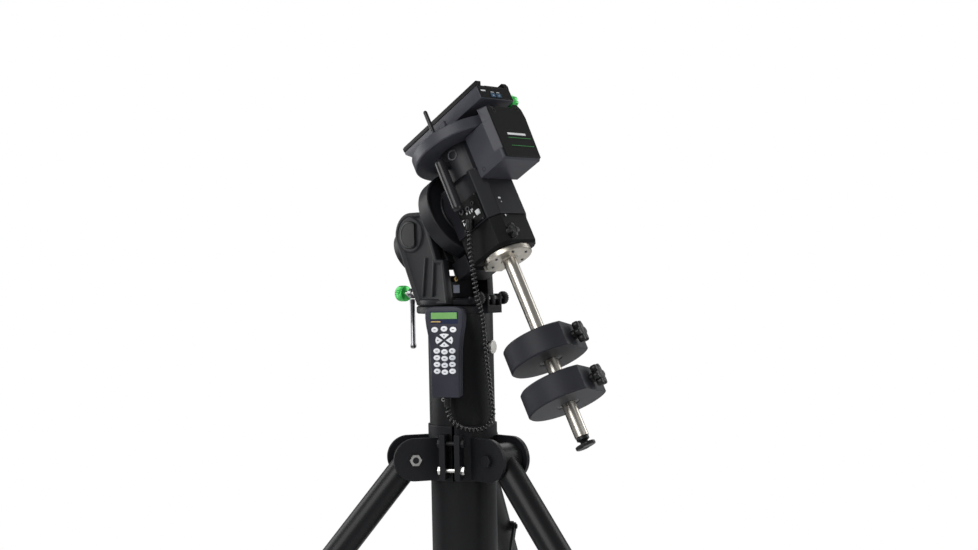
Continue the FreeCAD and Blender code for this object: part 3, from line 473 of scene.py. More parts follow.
def screw_ring_tree(material):
    """Nodes that set a socket-head screw at each point of a circle."""
    tree = bpy.data.node_groups.new("screw_ring", "GeometryNodeTree")
    face = tree.interface
    for label, kind, value in (("Count", "NodeSocketInt", 6), ("Circle", "NodeSocketFloat", 0.08),
                               ("Head", "NodeSocketFloat", 0.003)):
        face.new_socket(label, in_out="INPUT", socket_type=kind).default_value = value
    face.new_socket("Geometry", in_out="OUTPUT", socket_type="NodeSocketGeometry")
    nodes, links = tree.nodes, tree.links
    given = nodes.new("NodeGroupInput")
    result = nodes.new("NodeGroupOutput")
    circle = nodes.new("GeometryNodeMeshCircle")
    head = nodes.new("GeometryNodeMeshCylinder")
    head.inputs["Vertices"].default_value = 24
    socket = nodes.new("GeometryNodeMeshCylinder")
    socket.inputs["Vertices"].default_value = 6
    half = nodes.new("ShaderNodeMath")
    half.operation = "MULTIPLY"
    half.inputs[1].default_value = 0.5
    cut = nodes.new("GeometryNodeMeshBoolean")
    cut.operation = "DIFFERENCE"
    lift = nodes.new("GeometryNodeTransform")
    spread = nodes.new("GeometryNodeInstanceOnPoints")
    real = nodes.new("GeometryNodeRealizeInstances")
    paint = nodes.new("GeometryNodeSetMaterial")
    paint.inputs["Material"].default_value = material
    raised = nodes.new("ShaderNodeCombineXYZ")
    links.new(given.outputs["Count"], circle.inputs["Vertices"])
    links.new(given.outputs["Circle"], circle.inputs["Radius"])
    links.new(given.outputs["Head"], head.inputs["Radius"])
    links.new(given.outputs["Head"], head.inputs["Depth"])
    links.new(given.outputs["Head"], half.inputs[0])
    links.new(half.outputs["Value"], socket.inputs["Radius"])
    links.new(given.outputs["Head"], socket.inputs["Depth"])
    links.new(half.outputs["Value"], raised.inputs["Z"])
    links.new(socket.outputs["Mesh"], lift.inputs["Geometry"])
    links.new(raised.outputs["Vector"], lift.inputs["Translation"])
    links.new(head.outputs["Mesh"], cut.inputs["Mesh 1"])
    links.new(lift.outputs["Geometry"], cut.inputs["Mesh 2"])
    links.new(circle.outputs["Mesh"], spread.inputs["Points"])
    links.new(cut.outputs["Mesh"], spread.inputs["Instance"])
    links.new(spread.outputs["Instances"], real.inputs["Geometry"])
    links.new(real.outputs["Geometry"], paint.inputs["Geometry"])
    links.new(paint.outputs["Geometry"], result.inputs["Geometry"])
    return tree


dark_screws = screw_ring_tree(dark_steel)


def ring_of_screws(name, tree, count, circle, head, around, body, turn_by=0.0):
    """Screws on a circle about a frame's local Z, made a plain mesh."""
    holder = bpy.data.objects.new(name, bpy.data.meshes.new(name))
    bpy.context.scene.collection.objects.link(holder)
    modifier = holder.modifiers.new("screws", "NODES")
    modifier.node_group = tree
    values = {"Count": count, "Circle": circle, "Head": head}
    for item in tree.interface.items_tree:
        if item.in_out == "INPUT":
            modifier[item.identifier] = values[item.name]
    bpy.context.view_layer.update()
    holder.data = bpy.data.meshes.new_from_object(holder.evaluated_get(bpy.context.evaluated_depsgraph_get()))
    holder.modifiers.clear()
    holder.data.transform(around @ Matrix.Rotation(turn_by, 4, "Z"))
    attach(holder, body)
    return holder


top_of_flange = Matrix.Translation((COLUMN_X - 0.012, 0, 1.0258))
ring_of_screws("flange_screws", dark_screws, 8, 0.0835, 0.0032, top_of_flange, "azimuth_base", 0.39)

# Altitude bolts: a pin through each arm under a shallow cap of black plastic, round but for one
# straight side.
for side, name in ((-1, "altitude_cap_west"), (1, "altitude_cap_east")):
    cap_frame = lying((TILT.x, side * ARM_OUTSIDE, TILT.z), (0, side, 0))
    cap = turned([(0.0, -0.024), (0.0138, -0.024), (0.0138, 0.0), (0.0315, 0.0), (0.0315, 0.002),
                  (0.0300, 0.0038), (0.0265, 0.0042), (0.0255, 0.0034), (0.0, 0.0036)], cap_frame, 96)
    for vertex in cap.verts:
        vertex.co.x = min(vertex.co.x, TILT.x + 0.019)
    piece(name, cap, cord_plastic, "azimuth_base", 0, 30, ("altitude_pivot_bolts",))

# Web fittings: a small brass screw and a pale plate on the web between the arms.
brass = bright_steel("brass", (0.60, 0.42, 0.17), 0.30, (1, 1, 1), 0.12)
stop_place = lying((COLUMN_X - 0.024, 0.007, 1.0685), (1, 0, 0))
piece("stop_screw", turned([(0, 0), (0.0068, 0), (0.0068, 0.0050), (0.0056, 0.0062), (0.0036, 0.0062),
                            (0.0036, 0.0032), (0, 0.0032)], stop_place, 40), brass, "azimuth_base")
pale_plate = soft_black("pale_plate", (0.52, 0.54, 0.66), 0.40, 500)
piece("web_plate", brick((-0.0245, 0.002, 1.0360), (-0.0230, 0.022, 1.0550), AT_COLUMN), pale_plate,
      "azimuth_base", 0.0005, 30)

# Azimuth adjusters: two ribbed black knobs on screws either side of the peg.


def ribbed_grip(radius, thickness, ribs, depth, around):
    """Round knob with rounded ribs along its side and a dished end."""
    mesh = bmesh.new()
    per_rib = 6
    count = ribs * per_rib
    levels = [(0.86, 0.0, 0.3), (0.97, 0.06, 1), (1.0, 0.16, 1), (1.0, 0.84, 1), (0.97, 0.94, 1),
              (0.86, 1.0, 0.3),
              (0.62, 0.99, 0), (0.56, 0.93, 0)]
    rings = []
    for scale, height, rib in levels:
        ring = []
        for k in range(count):
            angle = 2 * math.pi * k / count
            wave = 0.5 + 0.5 * math.cos(ribs * angle)
            reach = radius * scale - depth * rib * (1 - wave ** 0.6)
            ring.append(mesh.verts.new((reach * math.cos(angle), reach * math.sin(angle),
                                        thickness * height)))
        rings.append(ring)
    for low, high in zip(rings, rings[1:]):
        for k in range(count):
            following = (k + 1) % count
            mesh.faces.new((low[k], low[following], high[following], high[k]))
    mesh.faces.new(list(reversed(rings[0])))
    mesh.faces.new(rings[-1])
    bmesh.ops.recalc_face_normals(mesh, faces=mesh.faces)
    bmesh.ops.transform(mesh, matrix=around, verts=mesh.verts)
    return mesh


for side, name in ((1, "east"), (-1, "west")):
    low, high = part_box(f"azimuth_knob_{name}")
    middle = ((low[0] + high[0]) / 2, (low[2] + high[2]) / 2)
    grip_frame = lying((middle[0], side * 0.033, middle[1]), (0, side, 0))
    grip = ribbed_grip(0.015, 0.010, 18, 0.0014, grip_frame)
    screw = turned([(0, 0), (0.005, 0), (0.005, 0.0270), (0, 0.0270)],
                   lying((middle[0], side * 0.0065, middle[1]), (0, side, 0)), 32)
    piece(f"azimuth_grip_{name}", grip, cord_plastic, f"azimuth_screw_{name}", 0, 50,
          (f"azimuth_knob_{name}",))
    piece(f"azimuth_thread_{name}", screw, zinc_steel, f"azimuth_screw_{name}", 0, 30, ())

# Altitude adjuster: a green anodised ribbed knob on a long bright screw, with the lock lever, a
# slim bright rod with a ball end, hanging from it.


def anodised_green():
    material, nodes, links, shader = start_material("anodised_green")
    shader.inputs["Metallic"].default_value = 0.55
    shader.inputs["Coat Weight"].default_value = 0.35
    shader.inputs["Coat Roughness"].default_value = 0.15
    place = nodes.new("ShaderNodeTexCoord")
    cloud = noise(nodes, 120, 6)
    ramp = tint_ramp(nodes, ((0, (0.020, 0.36, 0.050)), (1, (0.045, 0.56, 0.095))))
    gloss = spread(nodes, 0.26, 0.40)
    bump = relief(nodes, 0.1, 0.0002)
    links.new(place.outputs["Object"], cloud.inputs["Vector"])
    links.new(cloud.outputs["Fac"], ramp.inputs["Fac"])
    links.new(ramp.outputs["Color"], shader.inputs["Base Color"])
    links.new(cloud.outputs["Fac"], gloss.inputs["Value"])
    links.new(gloss.outputs["Result"], shader.inputs["Roughness"])
    links.new(cloud.outputs["Fac"], bump.inputs["Height"])
    links.new(bump.outputs["Normal"], shader.inputs["Normal"])
    return material


green = anodised_green()
knob_low, knob_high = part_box("altitude_knob")
knob_z = (knob_low[2] + knob_high[2]) / 2
altitude_grip = ribbed_grip(0.019, 0.024, 24, 0.0013, lying((knob_low[0] + 0.024, 0, knob_z), (-1, 0, 0)))
piece("altitude_grip", altitude_grip, green, "altitude_screw", 0, 50, ("altitude_knob",))
thread = [(0, 0)]
for groove in range(40):
    place = 0.002 + groove * 0.0029
    thread += [(0.0060, place), (0.0054, place + 0.00145)]
thread += [(0.0050, 0.119), (0, 0.119)]
piece("altitude_thread", turned(thread, lying((knob_low[0] + 0.0235, 0, knob_z), (1, 0, 0)), 32),
      zinc_steel,
      "altitude_screw", 0, 30, ())
lever_low, lever_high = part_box("altitude_lever")
lever_x = (lever_low[0] + lever_high[0]) / 2
rod = turned([(0, 0), (0.0040, 0.0004), (0.0066, 0.0028), (0.0074, 0.0065), (0.0070, 0.0100),
              (0.0058, 0.0125),
              (0.0058, 0.105), (0.0066, 0.112), (0.0066, 0.118), (0, 0.118)],
             Matrix.Translation((lever_x, 0, lever_low[2])), 40)
eye = turned([(0.0062, 0), (0.0115, 0), (0.0120, 0.0008), (0.0120, 0.0092), (0.0115, 0.0100),
              (0.0062, 0.0100),
              (0.0062, 0)], lying((lever_x - 0.005, 0, knob_z), (1, 0, 0)), 48)
polished = bright_steel("polished_chrome", (0.24, 0.24, 0.25), 0.18, (1, 1, 1), 0.03)
piece("lever_rod", add(rod, eye), polished, "lock_lever", 0, 30, ("altitude_lever",))

# Polar axis: a black casting tilts between the fork arms and holds a hollow steel shaft. The shaft
# ends in a wide ring that carries the declination head, and a screwed cap closes it at the back.
polar, spin = joints["right_ascension"], joints["declination"]
AT_HEAD = (Matrix.Translation(polar["pos_m"])
           @ Matrix((polar["axis"], (0, 1, 0), spin["axis"])).transposed().to_4x4())
FACING_NORTH = AT_HEAD @ Matrix.Rotation(math.pi / 2, 4, "Y")
FACING_SOUTH = AT_HEAD @ Matrix.Rotation(-math.pi / 2, 4, "Y")
finish_node(casting_black, "ra_casing")
ring = [(0, -0.252), (0.028, -0.252), (0.028, -0.110), (0.1015, -0.110), (0.104, -0.1075), (0.104, -0.0745),
        (0.1025, -0.0725), (0.0985, -0.0725), (0.0970, -0.0745), (0.066, -0.0745), (0.064, -0.072),
        (0, -0.072)]
piece("polar_ring", turned(ring, FACING_NORTH, 160), casting_black, "declination_head", 0, 30,
      ("polar_shaft",))
rear_cap = [(0, 0.262), (0.0436, 0.262), (0.044, 0.2625), (0.044, 0.2665), (0.042, 0.2695), (0.0345, 0.270),
            (0.0325, 0.2675), (0.010, 0.2675), (0.0085, 0.2695), (0, 0.2695)]
piece("polar_rear_cap", turned(rear_cap, FACING_SOUTH, 96), cord_plastic, "polar_head", 0, 30,
      ("polar_cap",))
ring_of_screws("casing_screws", dark_screws, 6, 0.0535, 0.0026,
               FACING_SOUTH @ Matrix.Translation((0, 0, 0.2628)),
               "polar_head")

# Inside: ball bearings and worms of ground steel, bronze worm wheels, motors in zinc-plated cans.
bearing_steel = bright_steel("bearing_steel", (0.55, 0.56, 0.57), 0.18, (1, 1, 1), 0.05)
bronze = bright_steel("bronze", (0.55, 0.34, 0.13), 0.32, (1, 1, 1), 0.12)
finish_node(bearing_steel, "polar_bearings", "dec_bearings", "ra_worm", "dec_worm")
finish_node(bronze, "ra_worm_wheel", "dec_worm_wheel")
finish_node(dark_steel, "ra_motor", "dec_motor")

# Declination head: a bevelled block with a drum on top, cast in one and painted dark grey, over a
# blacker end cap.
housing_grey = powder_coat("housing_grey", (0.0095, 0.0097, 0.0125), 0.36, 300, 0.003)
finish_node(housing_grey, "dec_housing")
end_cap_black = powder_coat("end_cap_black", (0.0040, 0.0040, 0.0040), 0.44, 260, 0.0025, 0.12)
finish_node(end_cap_black, "dec_end_cap")
white_mark = soft_black("white_mark", (0.70, 0.71, 0.72), 0.45, 700)
drum_port = AT_HEAD @ lying((0.0180, -0.0662, 0.0950), (0.26, -0.966, 0))
piece("drum_port_rim", turned([(0.0090, -0.004), (0.0125, -0.004), (0.0125, 0.0020), (0.0118, 0.0027),
                               (0.0098, 0.0027), (0.0090, 0.0020), (0.0090, -0.004)], drum_port, 56),
      dark_steel, "declination_head", 0, 30, ())
piece("drum_port_plug", turned([(0, -0.004), (0.0091, -0.004), (0.0091, 0.0006), (0.0050, 0.0010),
                                (0.0040, -0.0006), (0, -0.0006)], drum_port, 48),
      cord_plastic, "declination_head", 0, 30, ())
marks = brick((-0.0215, -0.06235, 0.0165), (-0.0180, -0.0615, 0.0200), AT_HEAD)
add(marks, brick((-0.0270, -0.06235, -0.0180), (-0.0250, -0.0615, 0.0000), AT_HEAD))
for y, z, wide, tall in ((-0.0290, -0.0430, 0.0070, 0.0040), (-0.0250, -0.0520, 0.0025, 0.0025),
                         (-0.0290, -0.0880, 0.0025, 0.0050)):
    add(marks, brick((0.0615, y, z), (0.06235, y + wide, z + tall), AT_HEAD))
piece("housing_marks", marks, white_mark, "declination_head")

# Declination motor cover: a tapered cast box with a bevelled west corner, painted dark grey, and a
# black front plate held by recessed screws. It reaches up past the edge of the disc.


def lofted(rings, around):
    """Closed shell through rings that hold the same number of points."""
    mesh = bmesh.new()
    rows = [[mesh.verts.new(point) for point in ring] for ring in rings]
    for low, high in zip(rows, rows[1:]):
        for k, vertex in enumerate(low):
            following = (k + 1) % len(low)
            mesh.faces.new((vertex, low[following], high[following], high[k]))
    mesh.faces.new(list(reversed(rows[0])))
    mesh.faces.new(rows[-1])
    bmesh.ops.recalc_face_normals(mesh, faces=mesh.faces)
    bmesh.ops.transform(mesh, matrix=around, verts=mesh.verts)
    return mesh


cover_grey = powder_coat("cover_grey", (0.044, 0.045, 0.055), 0.36, 320, 0.0025)
levels = []
for height, back, corner, corner_y, front in (
        (0.0085, 0.062, 0.138, -0.053, 0.1410), (0.0135, 0.062, 0.141, -0.054, 0.1450),
        (0.0350, 0.062, 0.141, -0.054, 0.1450), (0.0375, 0.062, 0.124, -0.047, 0.1450),
        (0.1120, 0.062, 0.124, -0.047, 0.1450), (0.1121, 0.1245, 0.1255, -0.047, 0.1450),
        (0.1430, 0.1245, 0.1255, -0.047, 0.1450), (0.1460, 0.1245, 0.1255, -0.045, 0.1425)):
    levels.append([(back, -0.057, height), (corner, -0.057, height), (front, corner_y, height),
                   (front, 0.058, height), (back, 0.058, height)])
piece("motor_cover", lofted(levels, AT_HEAD), cover_grey, "declination_head", 0.0018, 12,
      ("dec_motor_cover",), 3)
front_outline = [(-0.0500, 0.0125), (0.0580, 0.0125), (0.0640, 0.1180), (0.0610, 0.1400), (0.0520, 0.1530),
                 (0.0400, 0.1540), (0.0320, 0.1440), (-0.0240, 0.1440), (-0.0320, 0.1350),
                 (-0.0390, 0.1440),
                 (-0.0490, 0.1420)]
front_plate = lofted([[(0.1448, y, z) for y, z in front_outline],
                      [(0.1482, y, z) for y, z in front_outline]],
                     AT_HEAD)
plate_black = powder_coat("plate_black", (0.0048, 0.0049, 0.0046), 0.46, 500, 0.0012, 0.12)
piece("motor_cover_front", front_plate, plate_black, "declination_head", 0.0011, 32, (), 2)
for name, base, along in (("cover_screw_a", (0.1482, -0.0330, 0.1310), (1, 0, 0)),
                          ("cover_screw_b", (0.1482, 0.0460, 0.1400), (1, 0, 0)),
                          ("cover_screw_c", (0.0790, -0.0570, 0.0210), (0, -1, 0))):
    bore = turned([(0, -0.004), (0.0050, -0.004), (0.0050, 0.0004), (0.0038, 0.0004), (0.0038, -0.0030),
                   (0, -0.0030)], AT_HEAD @ lying(base, along), 32)
    piece(name, bore, cord_plastic, "declination_head", 0, 30, ())
    piece(name + "_head", turned([(0, -0.0032), (0.0030, -0.0032), (0.0030, -0.0008), (0.0016, -0.0008),
                                  (0.0016, -0.0022), (0, -0.0022)], AT_HEAD @ lying(base, along), 6),
          zinc_steel, "declination_head", 0, 30, ())
green_line = soft_black("green_line", (0.015, 0.23, 0.040), 0.35, 700)
lines = brick((0.1480, -0.0210, 0.0610), (0.1485, 0.0500, 0.0623), AT_HEAD)
add(lines, brick((0.1480, -0.0210, 0.0405), (0.1485, 0.0500, 0.0418), AT_HEAD))
piece("cover_lines", lines, green_line, "declination_head")
piece("cover_stripe", brick((0.1480, -0.0190, 0.0690), (0.1485, 0.0380, 0.0745), AT_HEAD), white_mark,
      "declination_head")

# Connector panel: a thin black plate screwed to the west side, with three round sockets, a rocker
# switch and a few white marks.
panel = slab([(-0.034, -0.076), (0.036, -0.076), (0.036, -0.012), (-0.034, -0.012)], -0.066, -0.0618,
             AT_HEAD)
piece("connector_plate", panel, plate_black, "declination_head", 0.0010, 30, ("connector_panel",),
      2)
for name, radius, x, z in (("socket_power", 0.0070, -0.020, -0.030),
                           ("socket_guide", 0.0060, 0.000, -0.034),
                           ("socket_hand", 0.0050, 0.018, -0.030)):
    at_socket = AT_HEAD @ lying((x, -0.066, z), (0, -1, 0))
    piece(name, turned([(0, -0.0022), (radius - 0.0022, -0.0022), (radius - 0.0022, 0.0026),
                        (radius - 0.0004, 0.0026), (radius, 0.0022), (radius, -0.0022)], at_socket, 48),
          dark_steel, "declination_head", 0, 30, ())
piece("rocker_switch", lofted([[(0.018, -0.0655, -0.062), (0.030, -0.0655, -0.062),
                                (0.030, -0.0655, -0.050),
                                (0.018, -0.0655, -0.050)],
                               [(0.0190, -0.0690, -0.0610), (0.0290, -0.0690, -0.0610),
                                (0.0290, -0.0705, -0.0510), (0.0190, -0.0705, -0.0510)]], AT_HEAD),
      white_mark, "declination_head", 0.0006, 30, ())
panel_marks = brick((0.0000, -0.0664, -0.0470), (0.0024, -0.0659, -0.0400), AT_HEAD)
for x, z, wide, tall in ((0.0070, -0.0470, 0.0020, 0.0080), (0.0110, -0.0440, 0.0016, 0.0050),
                         (-0.0100, -0.0440, 0.0040, 0.0050), (0.0060, -0.0600, 0.0050, 0.0020),
                         (-0.0290, -0.0620, 0.0030, 0.0080), (-0.0240, -0.0600, 0.0100, 0.0014),
                         (-0.0300, -0.0500, 0.0080, 0.0014), (-0.0180, -0.0700, 0.0020, 0.0060)):
    add(panel_marks, brick((x, -0.0664, z), (x + wide, -0.0659, z + tall), AT_HEAD))
piece("panel_marks", panel_marks, white_mark, "declination_head")
ring_of_screws("panel_screws", dark_screws, 4, 0.0430, 0.0018,
               AT_HEAD @ lying((0.001, -0.0664, -0.044), (0, -1, 0)), "declination_head", 0.74)

# Bar plate and counterweight bar: a nickel-plated plate held by six socket screws, and a turned
# stainless bar that passes through it.
nickel = bright_steel("nickel", (0.50, 0.47, 0.41), 0.36, (1, 1, 1), 0.06)
plate_top = -0.150
plate = turned([(0.0157, plate_top), (0.0525, plate_top), (0.0540, plate_top - 0.0015),
                (0.0540, plate_top - 0.0115), (0.0525, plate_top - 0.0130), (0.0200, plate_top - 0.0130),
                (0.0185, plate_top - 0.0145), (0.0157, plate_top - 0.0145)], AT_HEAD, 128)
add(plate, slab([(-0.056, plate_top - 0.012), (-0.020, plate_top - 0.012), (-0.020, plate_top),
                 (-0.056, plate_top)], -0.026, 0.026, AT_HEAD))
piece("bar_plate", plate, nickel, "declination_head", 0, 30, ("bar_flange",))
under_plate = AT_HEAD @ Matrix.Translation((0, 0, plate_top - 0.0128)) @ Matrix.Rotation(math.pi, 4, "X")
ring_of_screws("bar_plate_screws", dark_screws, 6, 0.041, 0.0032, under_plate, "declination_head",
               math.pi / 6)
turned_bar = bright_steel("turned_bar", (0.52, 0.49, 0.44), 0.30, (30, 30, 0.12), 0.03)
finish_node(turned_bar, "counterweight_bar")

# Star knobs: moulded black knobs with round lobes, one on each weight and one on the end cap.


def star_grip(lobes, radius, thickness, depth, around):
    """Knob with round lobes, rounded ends and a dished face."""
    mesh = bmesh.new()
    count = lobes * 12
    rings = []
    for scale, height, lobe in ((0.80, 0, 0.7), (0.95, 0.07, 1), (1, 0.20, 1), (1, 0.80, 1),
                                (0.95, 0.93, 1),
                                (0.80, 1, 0.7), (0.42, 1, 0), (0.36, 0.90, 0)):
        ring = []
        for k in range(count):
            angle = 2 * math.pi * k / count
            wave = (0.5 + 0.5 * math.cos(lobes * angle)) ** 0.55
            reach = radius * scale - depth * lobe * (1 - wave)
            ring.append((reach * math.cos(angle), reach * math.sin(angle), thickness * height))
        rings.append(ring)
    return lofted(rings, around)


for level in ("upper", "lower"):
    turn_axis = joints[f"{level}_weight_knob_turn"]
    face = lying(turn_axis["pos_m"], turn_axis["axis"])
    star = star_grip(6, 0.0262, 0.0150, 0.0090, face)
    add(star, turned([(0, -0.0100), (0.0110, -0.0100), (0.0100, 0.0005), (0, 0.0005)], face, 40))
    piece(f"weight_star_{level}", star, cord_plastic, f"weight_screw_{level}", 0, 45,
          (f"weight_knob_{level}",))
    screw = turned([(0, -0.062), (0.0040, -0.062), (0.0040, -0.009), (0, -0.009)], face, 24)
    piece(f"weight_screw_{level}_rod", screw, zinc_steel, f"weight_screw_{level}", 0, 30, ())
lock = AT_HEAD @ lying((0.0620, -0.033, -0.128), (1, 0, 0))
lock_star = star_grip(4, 0.0172, 0.0125, 0.0085, lock)
add(lock_star, turned([(0, -0.040), (0.005, -0.040), (0.005, 0.001), (0, 0.001)], lock, 24))
piece("bar_lock_star", lock_star, cord_plastic, "bar_lock", 0, 45, ("bar_lock_knob",))

# Weights: cast discs under a thick dark rubber coat. The bar passes through a bored bush, and each
# weight has one flat for its knob.
weight_coat = powder_coat("weight_coat", (0.0190, 0.0195, 0.0245), 0.48, 240, 0.0022)
finish_node(weight_coat, "counterweight_upper", "counterweight_lower")
for level, low in (("upper", -0.413), ("lower", -0.516)):
    bush = turned([(0.0157, low + 0.0004), (0.0205, low + 0.0004), (0.0210, low + 0.0010),
                   (0.0259, low + 0.0010),
                   (0.0259, low + 0.0060), (0.0157, low + 0.0060), (0.0157, low + 0.0004)], AT_HEAD, 96)
    piece(f"weight_bush_{level}", bush, cord_plastic, f"weight_{level}", 0, 30, ())

# Safety knob: a black wing knob screwed into the end of the bar.
at_bar_end = AT_HEAD @ Matrix.Translation((0, 0, -0.600)) @ Matrix.Rotation(math.pi, 4, "X")
wings = star_grip(2, 0.0245, 0.0085, 0.0120, at_bar_end @ Matrix.Translation((0, 0, 0.0075)))
add(wings, turned([(0, -0.0275), (0.005, -0.0275), (0.005, -0.008), (0.0135, -0.008), (0.0140, -0.0072),
                   (0.0140, -0.0010), (0.0095, 0.0015), (0.0080, 0.0045), (0.0120, 0.0085), (0, 0.0085)],
                  at_bar_end, 48))
piece("bar_end_wings", wings, cord_plastic, "bar_end_screw", 0, 45, ("safety_knob",))

# Clutch handle: a thick smooth bar of glossy black plastic with round ends, on a cross pin.
grip_gloss = soft_black("grip_gloss", (0.016, 0.016, 0.018), 0.24, 500)
GRIP_RADIUS = 0.012
grip_profile = [(GRIP_RADIUS * math.sin(math.radians(a)), -0.028 - GRIP_RADIUS * math.cos(math.radians(a)))
                for a in range(0, 91, 15)]
grip_profile += [(GRIP_RADIUS * math.cos(math.radians(a)), 0.084 + GRIP_RADIUS * math.sin(math.radians(a)))
                 for a in range(0, 91, 15)]
handle = turned(grip_profile, AT_HEAD @ Matrix.Translation((-0.004, -0.092, 0)), 48)
add(handle, turned([(0, 0), (0.009, 0), (0.009, 0.020), (0, 0.020)],
                   AT_HEAD @ lying((-0.004, -0.090, 0.080), (0, 1, 0)), 40))
piece("clutch_grip_bar", handle, grip_gloss, "clutch_grip", 0, 50, ("clutch_handle",))

# Declination disc: a wide grey disc and a neck that carry the saddle, with two cheeks for the
# clutch lever and a small lug.
disc = turned([(0, -0.066), (0.024, -0.066), (0.024, 0.1140), (0.1195, 0.1140), (0.1220, 0.1165),
               (0.1220, 0.1395), (0.1195, 0.1420), (0.056, 0.1420), (0.056, 0.1620), (0, 0.1620)],
               AT_HEAD, 192)
piece("declination_disc", disc, cover_grey, "saddle_head", 0, 28, ("dec_disc",))
cheeks = brick((0.008, -0.1030, 0.1415), (0.020, -0.0994, 0.1530), AT_HEAD)
add(cheeks, brick((0.008, -0.0886, 0.1415), (0.020, -0.0850, 0.1530), AT_HEAD))
add(cheeks, brick((0.048, -0.1040, 0.1415), (0.062, -0.0960, 0.1560), AT_HEAD))
piece("disc_lugs", cheeks, cover_grey, "saddle_head", 0.0010, 30, ())
finish_node(grip_gloss, "dec_clutch_lever")

# Saddle: a grey machined block under a black top plate with an undercut west jaw. The east jaw
# slides in when the two green knobs turn.
flank = [(-0.101, 0.162), (0.149, 0.162), (0.149, 0.1942), (-0.125, 0.1942), (-0.125, 0.187)]
piece("saddle_block", slab(flank, -0.0565, 0.0475, AT_HEAD), cover_grey, "saddle_head", 0.0014, 30,
      ("saddle",), 3)
AT_JAWS = AT_HEAD @ Matrix.Rotation(math.pi / 2, 4, "Z")
top_section = [(-0.0575, 0.1940), (0.0480, 0.1940), (0.0480, 0.1960), (0.0240, 0.1960), (0.0240, 0.1970),
               (-0.0300, 0.1970), (-0.0300, 0.1960), (-0.0410, 0.1960), (-0.0360, 0.2080),
               (-0.0520, 0.2080),
               (-0.0575, 0.2025)]
top_plate = slab(top_section, -0.149, 0.125, AT_JAWS)
piece("saddle_top", top_plate, plate_black, "saddle_head", 0.0009, 30, (), 2)
jaw_section = [(0.0350, 0.1963), (0.0485, 0.1963), (0.0485, 0.2025), (0.0430, 0.2080), (0.0300, 0.2080)]
piece("saddle_east_jaw", slab(jaw_section, -0.149, 0.125, AT_JAWS), plate_black, "jaw", 0.0009, 30,
      ("saddle_jaw",), 2)
for end in ("north", "south"):
    pull = joints[f"saddle_knob_{end}_turn"]
    base = Vector(pull["pos_m"]) + Vector(pull["axis"]) * 0.004
    saddle_star = star_grip(8, 0.0190, 0.022, 0.0030, lying(base, pull["axis"]))
    piece(f"saddle_star_{end}", saddle_star, green, f"jaw_screw_{end}", 0, 50, (f"saddle_knob_{end}",))
    rod = turned([(0, -0.042), (0.005, -0.042), (0.005, 0.001), (0, 0.001)], lying(base, pull["axis"]), 28)
    piece(f"saddle_rod_{end}", rod, zinc_steel, f"jaw_screw_{end}", 0, 30, ())
blue_socket = soft_black("blue_socket", (0.030, 0.075, 0.13), 0.35, 600)
end_plate = brick((0.1485, -0.0545, 0.1635), (0.1500, 0.0455, 0.1935), AT_HEAD)
piece("saddle_end_plate", end_plate, plate_black, "saddle_head", 0.0005, 30, ())
for name, y in (("saddle_socket_a", -0.022), ("saddle_socket_b", -0.004)):
    piece(name, brick((0.1495, y, 0.1665), (0.1512, y + 0.014, 0.1765), AT_HEAD), blue_socket,
          "saddle_head",
          0.0006, 30, ())
end_marks = brick((0.1499, -0.0490, 0.1800), (0.1504, -0.0350, 0.1835), AT_HEAD)
for y, wide in ((-0.0190, 0.009), (-0.0010, 0.009), (-0.0120, 0.003)):
    add(end_marks, brick((0.1499, y, 0.1790), (0.1504, y + wide, 0.1806), AT_HEAD))
add(end_marks, brick((0.1511, -0.0170, 0.1700), (0.1515, -0.0130, 0.1712), AT_HEAD))
add(end_marks, brick((0.1511, 0.0010, 0.1700), (0.1515, 0.0050, 0.1712), AT_HEAD))
piece("saddle_end_marks", end_marks, white_mark, "saddle_head")

# Hand controller: a two-part shell of dark blue-grey plastic, wide at the display and narrow below,
# held to the pier by a black holder.
press = joints["menu_keys_press"]
inward = Vector(press["axis"])
AT_HANDSET = (Matrix.Translation(Vector((COLUMN_X, 0, 0.806)) - inward * 0.090)
              @ Matrix((inward.cross(Vector((0, 0, 1))), inward, (0, 0, 1))).transposed().to_4x4())
handset_grey = soft_black("handset_grey", (0.026, 0.027, 0.038), 0.42, 800)
right_side = [(0.0330, 0.0), (0.0338, 0.060), (0.0352, 0.105), (0.0385, 0.135), (0.0430, 0.158),
              (0.0450, 0.176), (0.0450, 0.188)]
right_side += [(0.0450 * math.cos(math.radians(a)) ** 0.45, 0.188 + 0.015 * math.sin(math.radians(a)))
               for a in range(15, 90, 15)]
handset_outline = right_side + [(-x, z) for x, z in reversed(right_side)]
shell = slab(handset_outline, -0.0280, -0.0135, AT_HANDSET)
piece("handset_front", shell, handset_grey, "tripod", 0.0040, 30, ("handset_shell",), 4)
back_outline = [(x * 0.985, 0.0015 + z * 0.985) for x, z in handset_outline]
piece("handset_back", slab(back_outline, -0.0140, 0.0, AT_HANDSET), handset_grey, "tripod", 0.0040, 30, (),
      4)
finish_node(cord_plastic, "handset_bracket")
clip = turned([(0.0026, -0.0008), (0.0042, -0.0008), (0.0042, 0.0008), (0.0026, 0.0008), (0.0026, -0.0008)],
              AT_HANDSET @ lying((-0.010, -0.0150, -0.0052), (0, -1, 0)), 40)
add(clip, turned([(0, -0.0025), (0.0014, -0.0025), (0.0014, 0.0030), (0, 0.0030)],
                 AT_HANDSET @ Matrix.Translation((-0.010, -0.0150, 0)), 20))
piece("handset_clip", clip, zinc_steel, "tripod", 0, 30, ())

# Display: a green liquid-crystal window in a dark blue surround, with a small gold bar under it.
surround = soft_black("surround_blue", (0.012, 0.018, 0.045), 0.22, 500)
display_edge = [(-0.0310, 0.1640), (0.0310, 0.1640), (0.0325, 0.1655), (0.0325, 0.1905), (0.0310, 0.1920),
                (-0.0310, 0.1920), (-0.0325, 0.1905), (-0.0325, 0.1655)]
piece("display_surround", slab(display_edge, -0.0284, -0.0262, AT_HANDSET), surround, "tripod", 0.0004, 30,
      ("handset_display",))


